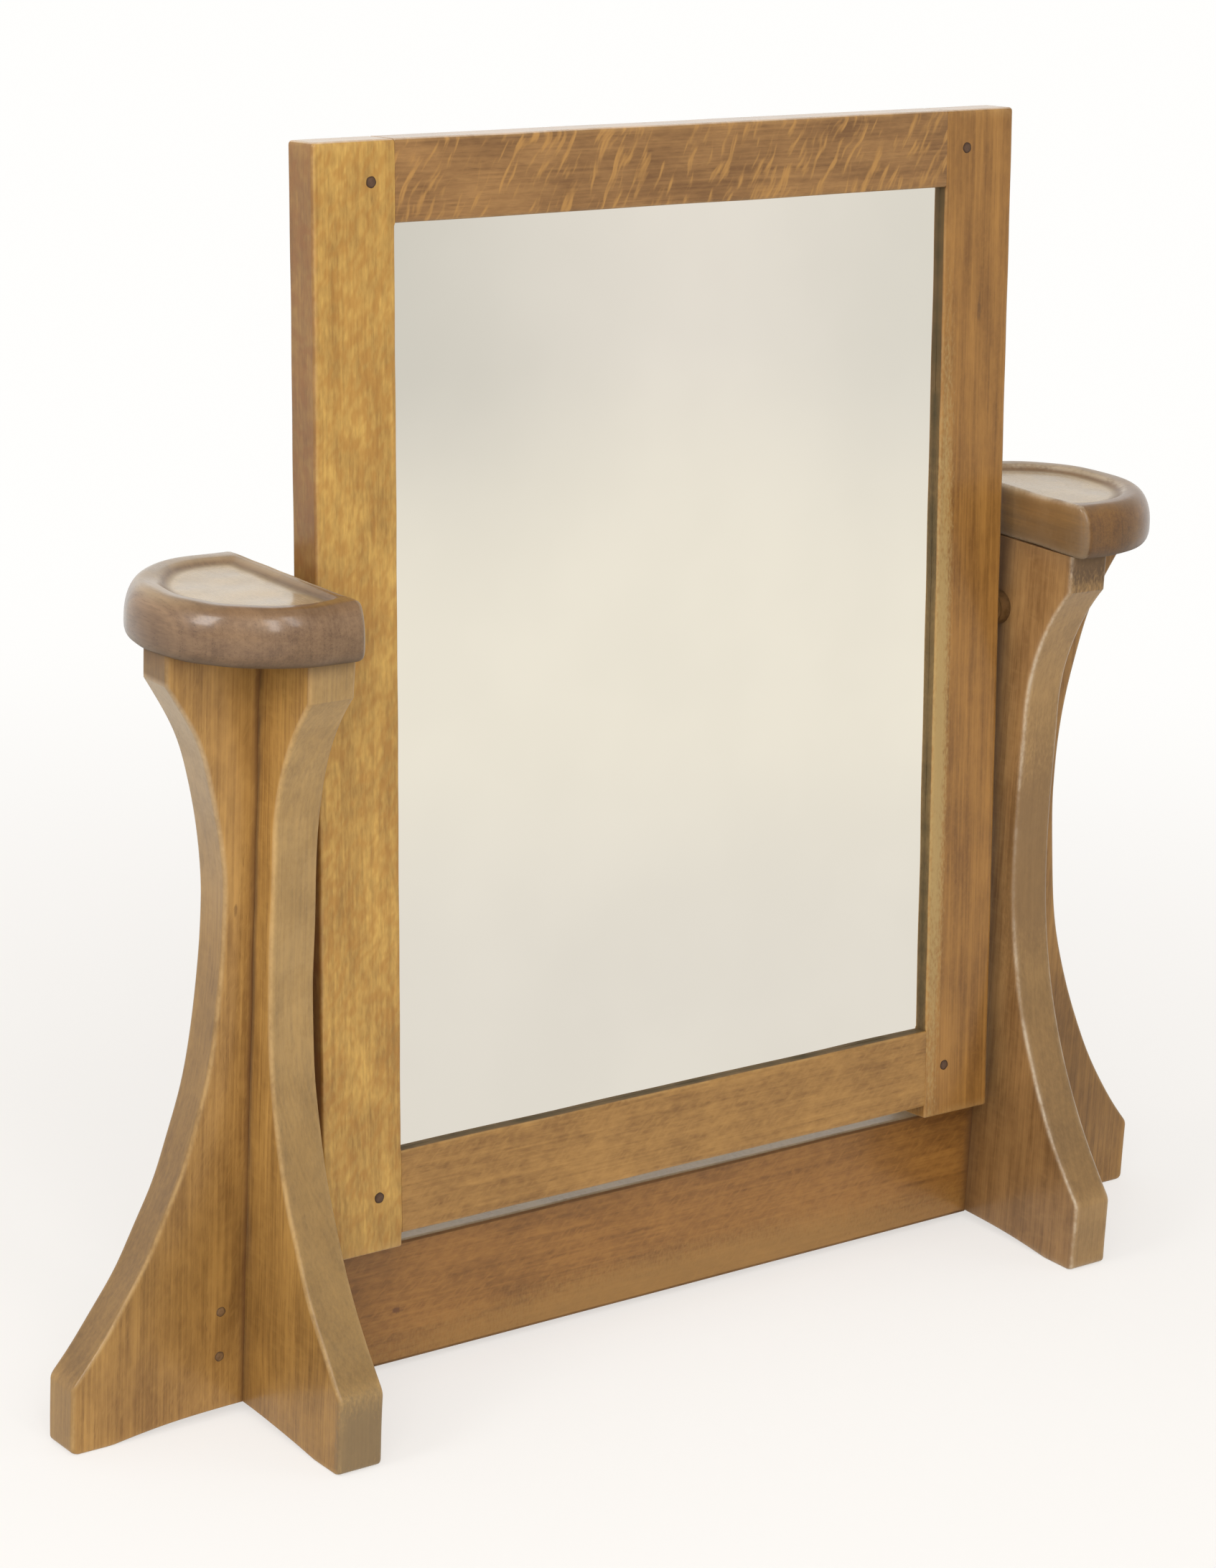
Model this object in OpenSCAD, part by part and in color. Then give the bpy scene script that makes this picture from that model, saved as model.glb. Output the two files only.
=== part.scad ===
// Dressing table mirror: an oak frame that tilts between two T-shaped uprights with dished trays.
// X runs along the width, -Y faces the person, Z is up.
// The origin lies on the table, in the middle of the stand.

/* [Mirror frame] */
// Width over the two stiles
frame_w = 500; // [380:1:640]
// Length of the stiles
frame_h = 623; // [480:1:760]
// Thickness of stiles and rails
frame_t = 24; // [22:0.5:32]
// Width of each stile
stile_w = 52.5; // [44:0.5:64]
// Width of the top rail
top_rail_w = 45; // [38:0.5:64]
// Width of the bottom rail
bottom_rail_w = 49; // [38:0.5:70]
// Length of stile left below the bottom rail
horn = 8; // [3:0.5:14]
// Angle by which the frame leans back at rest
lean = 4; // [0:0.5:8]

/* [Plate and back] */
// Thickness of the lip in front of the plate
lip_t = 5.5; // [4.5:0.5:8]
// Width of the rebate that takes the plate
rebate_w = 8; // [6:0.5:10]
// Thickness of the mirror plate
glass_t = 4; // [3:0.5:5]
// Thickness of the back board
back_t = 6; // [4:0.5:7]
// Play between the plate and the rebate's walls
glass_play = 0.8; // [0.4:0.1:1.5]
// Width of the beads that hold the back board
bead_w = 12; // [9:0.5:16]
// Diameter of the pins through the beads
bead_pin_d = 1.8; // [1.2:0.1:2.4]
// Length of the pins through the beads
bead_pin_l = 18; // [16:0.5:22]

/* [Frame joints] */
// Thickness of the rail tenons
tenon_t = 8; // [6:0.5:9]
// Length of the rail tenons
tenon_l = 34; // [26:0.5:36]
// Shoulder left along a tenon's outer edge
tenon_shoulder = 6; // [3:0.5:8]
// Wood left between a tenon and the rebate
tenon_wall = 3; // [2:0.5:5]
// Diameter of the oak pegs
peg_d = 6.4; // [5:0.2:8]
// Distance from the joint line to a frame peg
peg_in = 15.5; // [10:0.5:19]
// How far a peg stands out of the face
peg_proud = 0.5; // [0:0.1:1]
// Play round tenons, tongues, pegs and dowels
joint_play = 0.05; // [0.02:0.01:0.15]

/* [Uprights] */
// Gap between the frame and each upright
side_gap = 10; // [6:0.5:16]
// Thickness of the upright boards
board_t = 29; // [26:0.5:36]
// Height of the uprights below the trays
board_h = 448; // [440:1:560]
// Half depth of an upright's square top
block_half = 61.5; // [52:0.5:70]
// Half depth at the waist
waist_half = 31; // [24:0.5:40]
// Half depth at the feet
foot_half = 111; // [90:1:140]
// Height of the square top's lower edge
block_low = 426; // [390:1:436]
// Height where the upper curve leaves the waist
waist_high = 340; // [300:1:370]
// Height where the lower curve leaves the waist
waist_low = 260; // [200:1:290]
// Height of the square toes
toe_h = 44; // [30:1:60]

/* [Wings] */
// Thickness of the wing boards
wing_t = 26; // [22:0.5:34]
// Reach of a wing's square top beyond the upright
wing_block = 58.5; // [48:0.5:60]
// Reach of a wing at its waist
wing_waist = 19; // [14:0.5:28]
// Reach of a wing at its foot
wing_foot = 110; // [90:1:140]
// Height of the lower edge of a wing's square top
wing_block_low = 431; // [400:1:438]
// Height where a wing's upper curve leaves its waist
wing_waist_high = 300; // [292:1:340]
// Height where a wing's lower curve leaves its waist
wing_waist_low = 285; // [220:1:290]
// Height of a wing's square toe
wing_toe_h = 40; // [28:1:60]
// Thickness of the tongue that seats a wing in the upright
tongue_t = 8; // [6:0.5:12]
// Depth of that tongue
tongue_d = 6; // [4:0.5:7]
// Height of the tongue's lower end
tongue_low = 100; // [95:1:140]
// Height of the tongue's upper end
tongue_high = 420; // [380:1:430]

/* [Underside] */
// Height of the hollow under uprights and wings
relief = 6; // [3:0.5:8]
// Length of the flat pad under each toe
pad_l = 26; // [18:1:40]

/* [Trays] */
// Thickness of the trays
tray_t = 32; // [28:0.5:40]
// Radius of a tray's round end
tray_r = 72.5; // [66:0.5:84]
// Length of the straight part from the flat side
tray_straight = 22; // [14:0.5:34]
// Rounding of a tray's upper edge
tray_top_round = 11; // [6:0.5:13]
// Rounding of a tray's lower edge
tray_low_round = 6; // [3:0.5:9]
// Rounding of the two upright corners
tray_corner = 5; // [3:0.5:8]
// Depth of the dish
dish_depth = 4; // [3:0.5:7]
// Radius of the flat floor of the dish
dish_floor_r = 46.5; // [38:0.5:48]
// Distance from the flat side to the middle of the dish
dish_centre = 23; // [20:0.5:27]
// Distance from the flat side to the floor of the dish
dish_wall = 13; // [12:0.5:18]
// Radius of the cove round the dish
cove_r = 9; // [8:0.5:11]
// Diameter of the dowels under the trays
dowel_d = 8; // [6:0.5:10]
// Length of a dowel inside the tray
dowel_up = 14; // [10:0.5:18]
// Length of a dowel inside the upright
dowel_down = 24; // [16:0.5:36]
// Distance of the two upright dowels from the middle
dowel_y = 38; // [24:0.5:44]
// Reach of the wing dowel beyond the upright
dowel_x = 36; // [24:0.5:44]

/* [Stretcher] */
// Height of the stretcher's lower edge
stretcher_low = 5; // [2:0.5:12]
// Depth of the stretcher on edge
stretcher_h = 76; // [64:0.5:78]
// Thickness of the stretcher
stretcher_t = 23; // [18:0.5:25]
// Thickness of the stretcher's tenons
long_tenon_t = 10; // [8:0.5:12]
// Shoulder above and below the stretcher's tenons
long_tenon_shoulder = 8; // [6:0.5:10]
// Length of the tenons beyond the upright
long_tenon_out = 28; // [25:0.5:34]
// Reach of the wing pegs beyond the upright
wing_peg_x = 16; // [10:0.5:18]
// Height of the lower wing peg
wing_peg_low = 38; // [26:0.5:44]
// Height of the upper wing peg
wing_peg_high = 65; // [52:0.5:66]

/* [Pivots] */
// Height of the pivots above the table
pivot_z = 404; // [403:0.5:420]
// Height of the pivots above the stiles' lower ends
pivot_up = 317; // [300:0.5:318]
// Diameter of the pivot pins
pivot_d = 9; // [7:0.5:10]
// Length of a pin inside the upright
pivot_in_board = 17; // [12:0.5:18]
// Length of a pin inside the stile
pivot_in_stile = 20; // [14:0.5:24]
// Radial running clearance of the pins
running_fit = 0.05; // [0.02:0.01:0.1]
// Outer diameter of the bushes
bush_d = 14; // [13:0.5:16]
// Diameter of the bush flanges and collars
flange_d = 21; // [18:0.5:22]
// Thickness of the bush flanges
flange_t = 2; // [1:0.1:3]
// Running gap between flange and collar
side_play = 0.3; // [0.2:0.05:0.6]

/* [Hidden] */

oak = [0.55, 0.36, 0.16];
oak_dark = [0.44, 0.28, 0.14];
oak_tray = [0.46, 0.33, 0.20];
peg_brown = [0.25, 0.15, 0.08];
plate_grey = [0.80, 0.80, 0.76];
pale_wood = [0.66, 0.52, 0.34];
brass = [0.72, 0.57, 0.28];
steel = [0.55, 0.55, 0.56];

round_fn = 64;
arc_fn = 256;
past = 1;

upright_in = frame_w / 2 + side_gap;
upright_out = upright_in + board_t;

rail_l = frame_w - 2 * stile_w;
bottom_rail_z = horn;
top_rail_z = frame_h - top_rail_w;
open_low = bottom_rail_z + bottom_rail_w;
open_high = top_rail_z;
open_h = open_high - open_low;
rebate_depth = frame_t - lip_t;
plate_w = rail_l + 2 * (rebate_w - glass_play);
plate_h = open_h + 2 * (rebate_w - glass_play);
bead_t = rebate_depth - glass_t - back_t;
bead_run_w = rail_l + 2 * (rebate_w - joint_play);
bead_run_h = open_h + 2 * (rebate_w - joint_play);
bead_back = bead_t / 2;
bead_inner = rail_l / 2 + rebate_w - joint_play - bead_w;
side_pin_end = 90;
rail_pin_out = 110;
pin_head_rim = 0.7;
pin_head_t = 0.8;
side_pin_z = [open_low + side_pin_end, open_low + open_h / 2, open_high - side_pin_end];
rail_pin_x = [-rail_pin_out, rail_pin_out];
pin_head_d = bead_pin_d + 2 * pin_head_rim;

long_tenon_low = stretcher_low + long_tenon_shoulder;
long_tenon_h = stretcher_h - 2 * long_tenon_shoulder;
long_tenon_end = 2;
stretcher_l = 2 * upright_in;

tray_low = board_h;
tray_centre = upright_in + tray_straight;
collar_t = side_gap - flange_t - side_play;

// Radius of the arc that is tangent to an upright line and moves off it by rise over run.
function arc_radius(rise, run) = (rise * rise + run * run) / (2 * rise);

// Everything on the mirror frame is drawn about the pivot line and leans back with it.
module on_frame() {
    translate([0, 0, pivot_z])
        rotate([-lean, 0, 0])
            translate([0, -frame_t / 2, -pivot_up])
                children();
}

// A box given by its middle in X, its front and its lower face.
module slab(x, y, z, w, t, h) {
    translate([x - w / 2, y, z])
        cube([w, t, h]);
}

// One side of a concave edge: straight at the waist, curved out to a square end.
module flare(inner, outer, z_waist, z_end) {
    run = abs(z_end - z_waist);
    r = arc_radius(outer - inner, run);
    difference() {
        translate([0, min(z_waist, z_end)])
            square([outer, run]);
        translate([inner + r, z_waist])
            circle(r = r, $fn = arc_fn);
    }
}

// Half of an upright or a wing, from its middle line to its concave edge.
module waisted_half(waist, block, foot, toe, low, high, block_z) {
    square([foot, toe]);
    flare(waist, foot, low, toe);
    translate([0, low])
        square([waist, high - low]);
    flare(waist, block, high, block_z);
    translate([0, block_z])
        square([block, board_h - block_z]);
}

// Shallow hollow under a board, rising from the pads to its middle.
module underside(reach) {
    r = arc_radius(relief, reach - pad_l);
    translate([0, relief - r])
        circle(r = r, $fn = arc_fn);
}

// Hole or plug across a board, along X.
module along_x(x, y, z, d, l) {
    translate([x, y, z])
        rotate([0, 90, 0])
            cylinder(d = d, h = l, $fn = round_fn);
}

// Hole or plug from front to back.
module along_y(x, y, z, d, l) {
    translate([x, y, z])
        rotate([-90, 0, 0])
            cylinder(d = d, h = l, $fn = round_fn);
}

// Tenon of a frame rail, on the right, with play added all round for its mortise.
module rail_tenon(z, h, play, l) {
    translate([rail_l / 2 - past, lip_t - play, z - play])
        cube([l + past, tenon_t + 2 * play, h + 2 * play]);
}

module top_tenon(play = 0, l = tenon_l) {
    z = top_rail_z + rebate_w + tenon_wall;
    rail_tenon(z, frame_h - tenon_shoulder - z, play, l);
}

module bottom_tenon(play = 0, l = tenon_l) {
    z = bottom_rail_z + tenon_shoulder;
    rail_tenon(z, open_low - rebate_w - tenon_wall - z, play, l);
}

// The two pegs of the right stile, wide enough for a hole when play is given.
module stile_pegs(play = 0, proud = peg_proud, behind = 0) {
    for (z = [bottom_rail_z + bottom_rail_w / 2, top_rail_z + top_rail_w / 2])
        along_y(rail_l / 2 + peg_in, -proud, z, peg_d + 2 * play, frame_t + proud + behind);
}

// Pins along the right bead, driven outwards into the stile.
module side_pins(play = 0) {
    for (z = side_pin_z)
        along_x(bead_inner, frame_t - bead_back, z, bead_pin_d + 2 * play, bead_pin_l + play);
}

// Pins along the top bead, driven up into the rail; bottom ones are their mirror image.
module rail_pins(play = 0) {
    for (x = rail_pin_x)
        translate([x, frame_t - bead_back, open_high + bead_inner - rail_l / 2])
            cylinder(d = bead_pin_d + 2 * play, h = bead_pin_l + play, $fn = round_fn);
}

module rail_pins_low(play = 0) {
    translate([0, 0, open_low + open_high])
        mirror([0, 0, 1])
            rail_pins(play);
}

// Everything that the right stile loses: mortises, rebate, peg holes and the bush's seat.
module stile_cuts() {
    top_tenon(joint_play, tenon_l + joint_play);
    bottom_tenon(joint_play, tenon_l + joint_play);
    slab(rail_l / 2, lip_t, open_low - rebate_w,
        2 * rebate_w, rebate_depth + past, open_h + 2 * rebate_w);
    stile_pegs(joint_play, past, past);
    side_pins(joint_play);
    along_x(frame_w / 2 - pivot_in_stile - joint_play, frame_t / 2, pivot_up,
        bush_d + 2 * joint_play, pivot_in_stile + joint_play + past);
}

module stile_right() {
    difference() {
        slab(frame_w / 2 - stile_w / 2, 0, 0, stile_w, frame_t, frame_h);
        stile_cuts();
    }
}

module left_stile() {
    color(oak)
        on_frame()
            mirror([1, 0, 0])
                stile_right();
}

module right_stile() {
    color(oak)
        on_frame()
            stile_right();
}

module both_sides() {
    children();
    mirror([1, 0, 0])
        children();
}

module top_rail() {
    color(oak)
        on_frame()
            difference() {
                union() {
                    slab(0, 0, top_rail_z, rail_l, frame_t, top_rail_w);
                    both_sides()
                        top_tenon();
                }
                slab(0, lip_t, open_high - past,
                    rail_l + 2 * past, rebate_depth + past, rebate_w + past);
                both_sides()
                    stile_pegs(joint_play, past, past);
                rail_pins(joint_play);
            }
}

module bottom_rail() {
    color(oak)
        on_frame()
            difference() {
                union() {
                    slab(0, 0, bottom_rail_z, rail_l, frame_t, bottom_rail_w);
                    both_sides()
                        bottom_tenon();
                }
                slab(0, lip_t, open_low - rebate_w,
                    rail_l + 2 * past, rebate_depth + past, rebate_w + past);
                both_sides()
                    stile_pegs(joint_play, past, past);
                rail_pins_low(joint_play);
            }
}

module frame_pegs() {
    color(peg_brown)
        on_frame()
            both_sides()
                stile_pegs();
}

module mirror_plate() {
    color(plate_grey)
        on_frame()
            slab(0, lip_t, open_low - rebate_w + glass_play, plate_w, glass_t, plate_h);
}

module back_board() {
    color(pale_wood)
        on_frame()
            slab(0, lip_t + glass_t, open_low - rebate_w + glass_play, plate_w, back_t, plate_h);
}

module bead_right() {
    difference() {
        slab(bead_inner + bead_w / 2, frame_t - bead_t, open_low - rebate_w + joint_play,
            bead_w, bead_t, bead_run_h);
        side_pins(joint_play);
    }
}

module left_bead() {
    color(oak_dark)
        on_frame()
            mirror([1, 0, 0])
                bead_right();
}

module right_bead() {
    color(oak_dark)
        on_frame()
            bead_right();
}

// The top and bottom beads fit between the side beads.
module bead_across(z) {
    slab(0, frame_t - bead_t, z, bead_run_w - 2 * bead_w - 2 * joint_play, bead_t, bead_w);
}

module top_bead() {
    color(oak_dark)
        on_frame()
            difference() {
                bead_across(open_high + rebate_w - joint_play - bead_w);
                rail_pins(joint_play);
            }
}

module bottom_bead() {
    color(oak_dark)
        on_frame()
            difference() {
                bead_across(open_low - rebate_w + joint_play);
                rail_pins_low(joint_play);
            }
}

// Heads of the pins rest on the inner edges of the beads.
module side_pin_heads() {
    for (z = side_pin_z)
        along_x(bead_inner - pin_head_t, frame_t - bead_back, z, pin_head_d, pin_head_t);
}

module rail_pin_heads() {
    for (x = rail_pin_x)
        translate([x, frame_t - bead_back, open_high + bead_inner - rail_l / 2 - pin_head_t])
            cylinder(d = pin_head_d, h = pin_head_t, $fn = round_fn);
}

module bead_pins() {
    color(steel)
        on_frame() {
            both_sides() {
                side_pins();
                side_pin_heads();
            }
            rail_pins();
            rail_pin_heads();
            rail_pins_low();
            translate([0, 0, open_low + open_high])
                mirror([0, 0, 1])
                    rail_pin_heads();
        }
}

// Flanged bush let into the outer edge of the right stile.
module bush_right() {
    difference() {
        union() {
            along_x(frame_w / 2 - pivot_in_stile, frame_t / 2, pivot_up,
                bush_d, pivot_in_stile + flange_t / 2);
            along_x(frame_w / 2, frame_t / 2, pivot_up, flange_d, flange_t);
        }
        along_x(frame_w / 2 - pivot_in_stile - past, frame_t / 2, pivot_up,
            pivot_d + 2 * running_fit, pivot_in_stile + flange_t + 2 * past);
    }
}

module left_bush() {
    color(brass)
        on_frame()
            mirror([1, 0, 0])
                bush_right();
}

module right_bush() {
    color(brass)
        on_frame()
            bush_right();
}

module pivot_pin_right() {
    along_x(frame_w / 2 - pivot_in_stile + running_fit, 0, pivot_z, pivot_d,
        pivot_in_stile - running_fit + side_gap + pivot_in_board);
}

module left_pivot_pin() {
    color(steel)
        mirror([1, 0, 0])
            pivot_pin_right();
}

module right_pivot_pin() {
    color(steel)
        pivot_pin_right();
}

// Collar on the pin that keeps the stile off the upright.
module collar_right() {
    difference() {
        along_x(upright_in - collar_t, 0, pivot_z, flange_d, collar_t);
        along_x(upright_in - collar_t - past, 0, pivot_z,
            pivot_d + 2 * running_fit, collar_t + 2 * past);
    }
}

module left_collar() {
    color(brass)
        mirror([1, 0, 0])
            collar_right();
}

module right_collar() {
    color(brass)
        collar_right();
}

// Stretcher tenon on the right, from the upright's inner face outwards.
module long_tenon(play = 0, extra = 0) {
    translate([upright_in - past, -long_tenon_t / 2 - play, long_tenon_low - play])
        cube([
            board_t + long_tenon_out + past + extra,
            long_tenon_t + 2 * play,
            long_tenon_h + 2 * play
        ]);
}

module tongue(play = 0) {
    translate([upright_out - tongue_d - play, -tongue_t / 2 - play, tongue_low - play])
        cube([tongue_d + play + past, tongue_t + 2 * play, tongue_high - tongue_low + 2 * play]);
}

module tray_dowels(play = 0) {
    z = tray_low - dowel_down - play;
    l = dowel_down + dowel_up + 2 * play;
    for (y = [-dowel_y, dowel_y])
        translate([upright_in + board_t / 2, y, z])
            cylinder(d = dowel_d + 2 * play, h = l, $fn = round_fn);
    translate([upright_out + dowel_x, 0, z])
        cylinder(d = dowel_d + 2 * play, h = l, $fn = round_fn);
}

module wing_pegs(play = 0, front = peg_proud, behind = 0) {
    for (z = [wing_peg_low, wing_peg_high])
        along_y(upright_out + wing_peg_x, -wing_t / 2 - front, z,
            peg_d + 2 * play, wing_t + front + behind);
}

// Front-to-back board of the right upright.
module upright_right() {
    difference() {
        translate([upright_in, 0, 0])
            rotate([90, 0, 90])
                linear_extrude(board_t)
                    difference() {
                        for (side = [0, 1])
                            mirror([side, 0])
                                waisted_half(waist_half, block_half, foot_half, toe_h,
                                    waist_low, waist_high, block_low);
                        underside(foot_half);
                    }
        long_tenon(joint_play);
        tongue(joint_play);
        tray_dowels(joint_play);
        along_x(upright_in - past, 0, pivot_z,
            pivot_d + 2 * joint_play, pivot_in_board + joint_play + past);
    }
}

module left_upright() {
    color(oak)
        mirror([1, 0, 0])
            upright_right();
}

module right_upright() {
    color(oak)
        upright_right();
}

// Wing board on the outer face of the right upright.
module wing_right() {
    difference() {
        union() {
            translate([upright_out, wing_t / 2, 0])
                rotate([90, 0, 0])
                    linear_extrude(wing_t)
                        difference() {
                            waisted_half(wing_waist, wing_block, wing_foot, wing_toe_h,
                                wing_waist_low, wing_waist_high, wing_block_low);
                            underside(wing_foot);
                        }
            tongue();
        }
        long_tenon(joint_play, long_tenon_end);
        tray_dowels(joint_play);
        wing_pegs(joint_play, past, past);
    }
}

module left_wing() {
    color(oak)
        mirror([1, 0, 0])
            wing_right();
}

module right_wing() {
    color(oak)
        wing_right();
}

module stretcher() {
    color(oak_dark)
        difference() {
            union() {
                slab(0, -stretcher_t / 2, stretcher_low, stretcher_l, stretcher_t, stretcher_h);
                both_sides()
                    long_tenon();
            }
            both_sides()
                wing_pegs(joint_play, past, past);
        }
}

module left_wing_pegs() {
    color(peg_brown)
        mirror([1, 0, 0])
            wing_pegs();
}

module right_wing_pegs() {
    color(peg_brown)
        wing_pegs();
}

// Corner of a square filled up to a quarter round, with its sharp corner at the origin.
module round_off(r) {
    difference() {
        translate([-r, -r])
            square([r + past, r + past]);
        translate([-r, -r])
            circle(r = r, $fn = round_fn);
    }
}

// Half section through a tray, from its middle line to its rounded side.
module tray_section() {
    difference() {
        square([tray_r, tray_t]);
        translate([tray_r, tray_t])
            round_off(tray_top_round);
        translate([tray_r, 0])
            mirror([0, 1])
                round_off(tray_low_round);
    }
}

// Section of the dish with its cove, from a middle line out to the rim.
module dish_section(floor_to) {
    square([floor_to, dish_depth + past]);
    intersection() {
        translate([floor_to, cove_r])
            circle(r = cove_r, $fn = round_fn);
        square([floor_to + cove_r, dish_depth + past]);
    }
}

// The dish: a coved round cut, stopped by a coved straight edge beside the flat side.
module dish() {
    reach = dish_floor_r + cove_r;
    centre = upright_in + dish_centre;
    far = centre + reach + past;
    translate([0, 0, tray_low + tray_t - dish_depth])
        intersection() {
            translate([centre, 0, 0])
                rotate_extrude($fn = arc_fn)
                    dish_section(dish_floor_r);
            translate([far, reach + past, 0])
                rotate([90, 0, 0])
                    linear_extrude(2 * (reach + past))
                        mirror([1, 0])
                            dish_section(far - upright_in - dish_wall);
        }
}

// Upright corner of the flat side, cut to a quarter round.
module tray_corners() {
    for (side = [0, 1])
        mirror([0, side, 0])
            translate([upright_in, tray_r, tray_low - past])
                linear_extrude(tray_t + 2 * past)
                    mirror([1, 0])
                        round_off(tray_corner);
}

// Half-round tray on top of the right upright, flat side towards the mirror.
module tray_right() {
    difference() {
        union() {
            translate([tray_centre, 0, tray_low])
                rotate_extrude($fn = arc_fn)
                    tray_section();
            translate([upright_in, 0, tray_low])
                rotate([90, 0, 90])
                    linear_extrude(tray_straight)
                        for (side = [0, 1])
                            mirror([side, 0])
                                tray_section();
        }
        translate([upright_in - 2 * tray_r, -2 * tray_r, tray_low - past])
            cube([2 * tray_r, 4 * tray_r, tray_t + 2 * past]);
        tray_corners();
        dish();
        tray_dowels(joint_play);
    }
}

module left_tray() {
    color(oak_tray)
        mirror([1, 0, 0])
            tray_right();
}

module right_tray() {
    color(oak_tray)
        tray_right();
}

module left_tray_dowels() {
    color(pale_wood)
        mirror([1, 0, 0])
            tray_dowels();
}

module right_tray_dowels() {
    color(pale_wood)
        tray_dowels();
}

left_stile();
right_stile();
top_rail();
bottom_rail();
frame_pegs();
mirror_plate();
back_board();
left_bead();
right_bead();
top_bead();
bottom_bead();
bead_pins();
left_bush();
right_bush();
left_pivot_pin();
right_pivot_pin();
left_collar();
right_collar();
left_upright();
right_upright();
left_wing();
right_wing();
stretcher();
left_wing_pegs();
right_wing_pegs();
left_tray();
right_tray();
left_tray_dowels();
right_tray_dowels();
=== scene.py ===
"""Dressing table mirror in hand-worked, waxed oak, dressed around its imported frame.

X runs along the width, -Y faces the person at the table and Z is up.
Sizes are in millimetres until a surface becomes a mesh, which is in metres.
"""
import logging
import math
from dataclasses import dataclass, field, replace
from enum import Enum
from typing import Callable, Sequence

import bpy
import numpy as np
from mathutils import Matrix, Vector


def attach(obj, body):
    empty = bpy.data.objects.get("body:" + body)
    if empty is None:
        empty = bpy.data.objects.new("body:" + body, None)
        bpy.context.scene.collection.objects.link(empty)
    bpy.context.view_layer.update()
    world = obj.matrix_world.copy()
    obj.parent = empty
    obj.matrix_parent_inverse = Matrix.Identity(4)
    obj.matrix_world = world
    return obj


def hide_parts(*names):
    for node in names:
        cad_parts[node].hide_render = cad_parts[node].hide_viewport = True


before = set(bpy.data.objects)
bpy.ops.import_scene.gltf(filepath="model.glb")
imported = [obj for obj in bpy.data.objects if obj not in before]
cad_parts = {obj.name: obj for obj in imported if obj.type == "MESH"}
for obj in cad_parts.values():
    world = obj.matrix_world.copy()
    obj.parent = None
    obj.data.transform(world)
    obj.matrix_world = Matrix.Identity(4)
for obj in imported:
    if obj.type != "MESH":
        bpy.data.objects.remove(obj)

Array = np.ndarray
Pair = tuple[float, float]
Triple = tuple[float, float, float]
Tone = tuple[float, float, float]
Socket = bpy.types.NodeSocket

LOG = logging.getLogger("mirror")
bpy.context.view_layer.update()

# Metres in a millimetre, and the numbers of the three axes
MM = 0.001
X, Y, Z = 0, 1, 2

# Degrees that the mirror frame leans back at rest
LEAN = 4.0

# Masks on every new mesh: worn edges, board edges, dirt and painted shade in nooks, painted sheen,
# darkening
MASKS = ("arris", "rim", "nook", "pale", "grime")

# Least radius of a rounded edge and least distance between two stations along a board
LEAST_RADIUS = 0.05
LEAST_GAP = 0.05

# Rings in the rounding of a board's end and in the flat cap inside it
END_RINGS = 6
CAP_RINGS = 6

# Share of an arris's wear that the faces beside it start with, and how far that reaches
WEAR_BESIDE = 0.2
WEAR_REACH = 1.2


class Body(Enum):
    """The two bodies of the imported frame."""

    STAND = "stand"
    MIRROR = "mirror_frame"


class Grain(Enum):
    """Turn, in degrees about X, Y and Z, that lays a piece's grain along Z."""

    UPRIGHT = (0.0, 0.0, 0.0)
    ACROSS = (0.0, -90.0, 0.0)
    DEEP = (90.0, 0.0, 0.0)


class Side(Enum):
    """Which half of the object a piece belongs to."""

    LEFT = -1
    RIGHT = 1

    def named(self, part: str) -> str:
        """The node name of a part on this side."""
        return f"{self.name.lower()}_{part}"


# Surfaces


@dataclass
class Skin:
    """Rings of points that close into one surface, with a mask value at each point."""

    points: Array
    masks: dict[str, Array] = field(default_factory=dict)

    def placed(self, place: Callable[[Array], Array]) -> "Skin":
        """The same skin with its points moved by a function of all points at once."""
        return Skin(place(self.points), self.masks)

    def on(self, side: Side) -> "Skin":
        """The skin itself on the right, its mirror image in X on the left."""
        return self.placed(lambda p: p * np.array([side.value, 1.0, 1.0]))


@dataclass(frozen=True)
class Unevenness:
    """Slow waves that hand planing and years of use leave in a surface.

    With still_floor set, the waves grow from nothing at the floor to full at calm_height.
    """

    height: float
    seed: int
    shortest: float = 34.0
    longest: float = 110.0
    waves: int = 9
    still_floor: bool = False
    calm_height: float = 15.0

    def __call__(self, points: Array) -> Array:
        """Shifts each point by a sum of sine waves in three directions.

        shift = height * sum over k of d_k * sin(n_k . p + phase_k) / sqrt(waves), with random
        unit directions n_k, d_k and wave lengths between shortest and longest.

        Args:
            points: Any number of points, in millimetres.

        Returns:
            The shifted points.
        """
        draw = np.random.default_rng(self.seed)
        run = draw.normal(size=(self.waves, 3))
        run /= np.linalg.norm(run, axis=1, keepdims=True)
        push = draw.normal(size=(self.waves, 3))
        push /= np.linalg.norm(push, axis=1, keepdims=True)
        length = draw.uniform(self.shortest, self.longest, self.waves)
        phase = draw.uniform(0, 2 * np.pi, self.waves)
        wave = np.sin(points @ (run * (2 * np.pi / length)[:, None]).T + phase)
        shift = wave @ push * (self.height / math.sqrt(self.waves))
        if self.still_floor:
            shift = shift * ramp(points[..., 2:], 0.0, self.calm_height)
        return points + shift


def bell(distance: Array, reach: float) -> Array:
    """Bell curve of a distance, exp(-(distance / reach)^2)."""
    return np.exp(-((distance / reach) ** 2))


def ramp(value: Array, start: float, end: float) -> Array:
    """Straight rise from 0 at start to 1 at end, level beyond them."""
    return np.clip((value - start) / (end - start), 0, 1)


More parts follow.
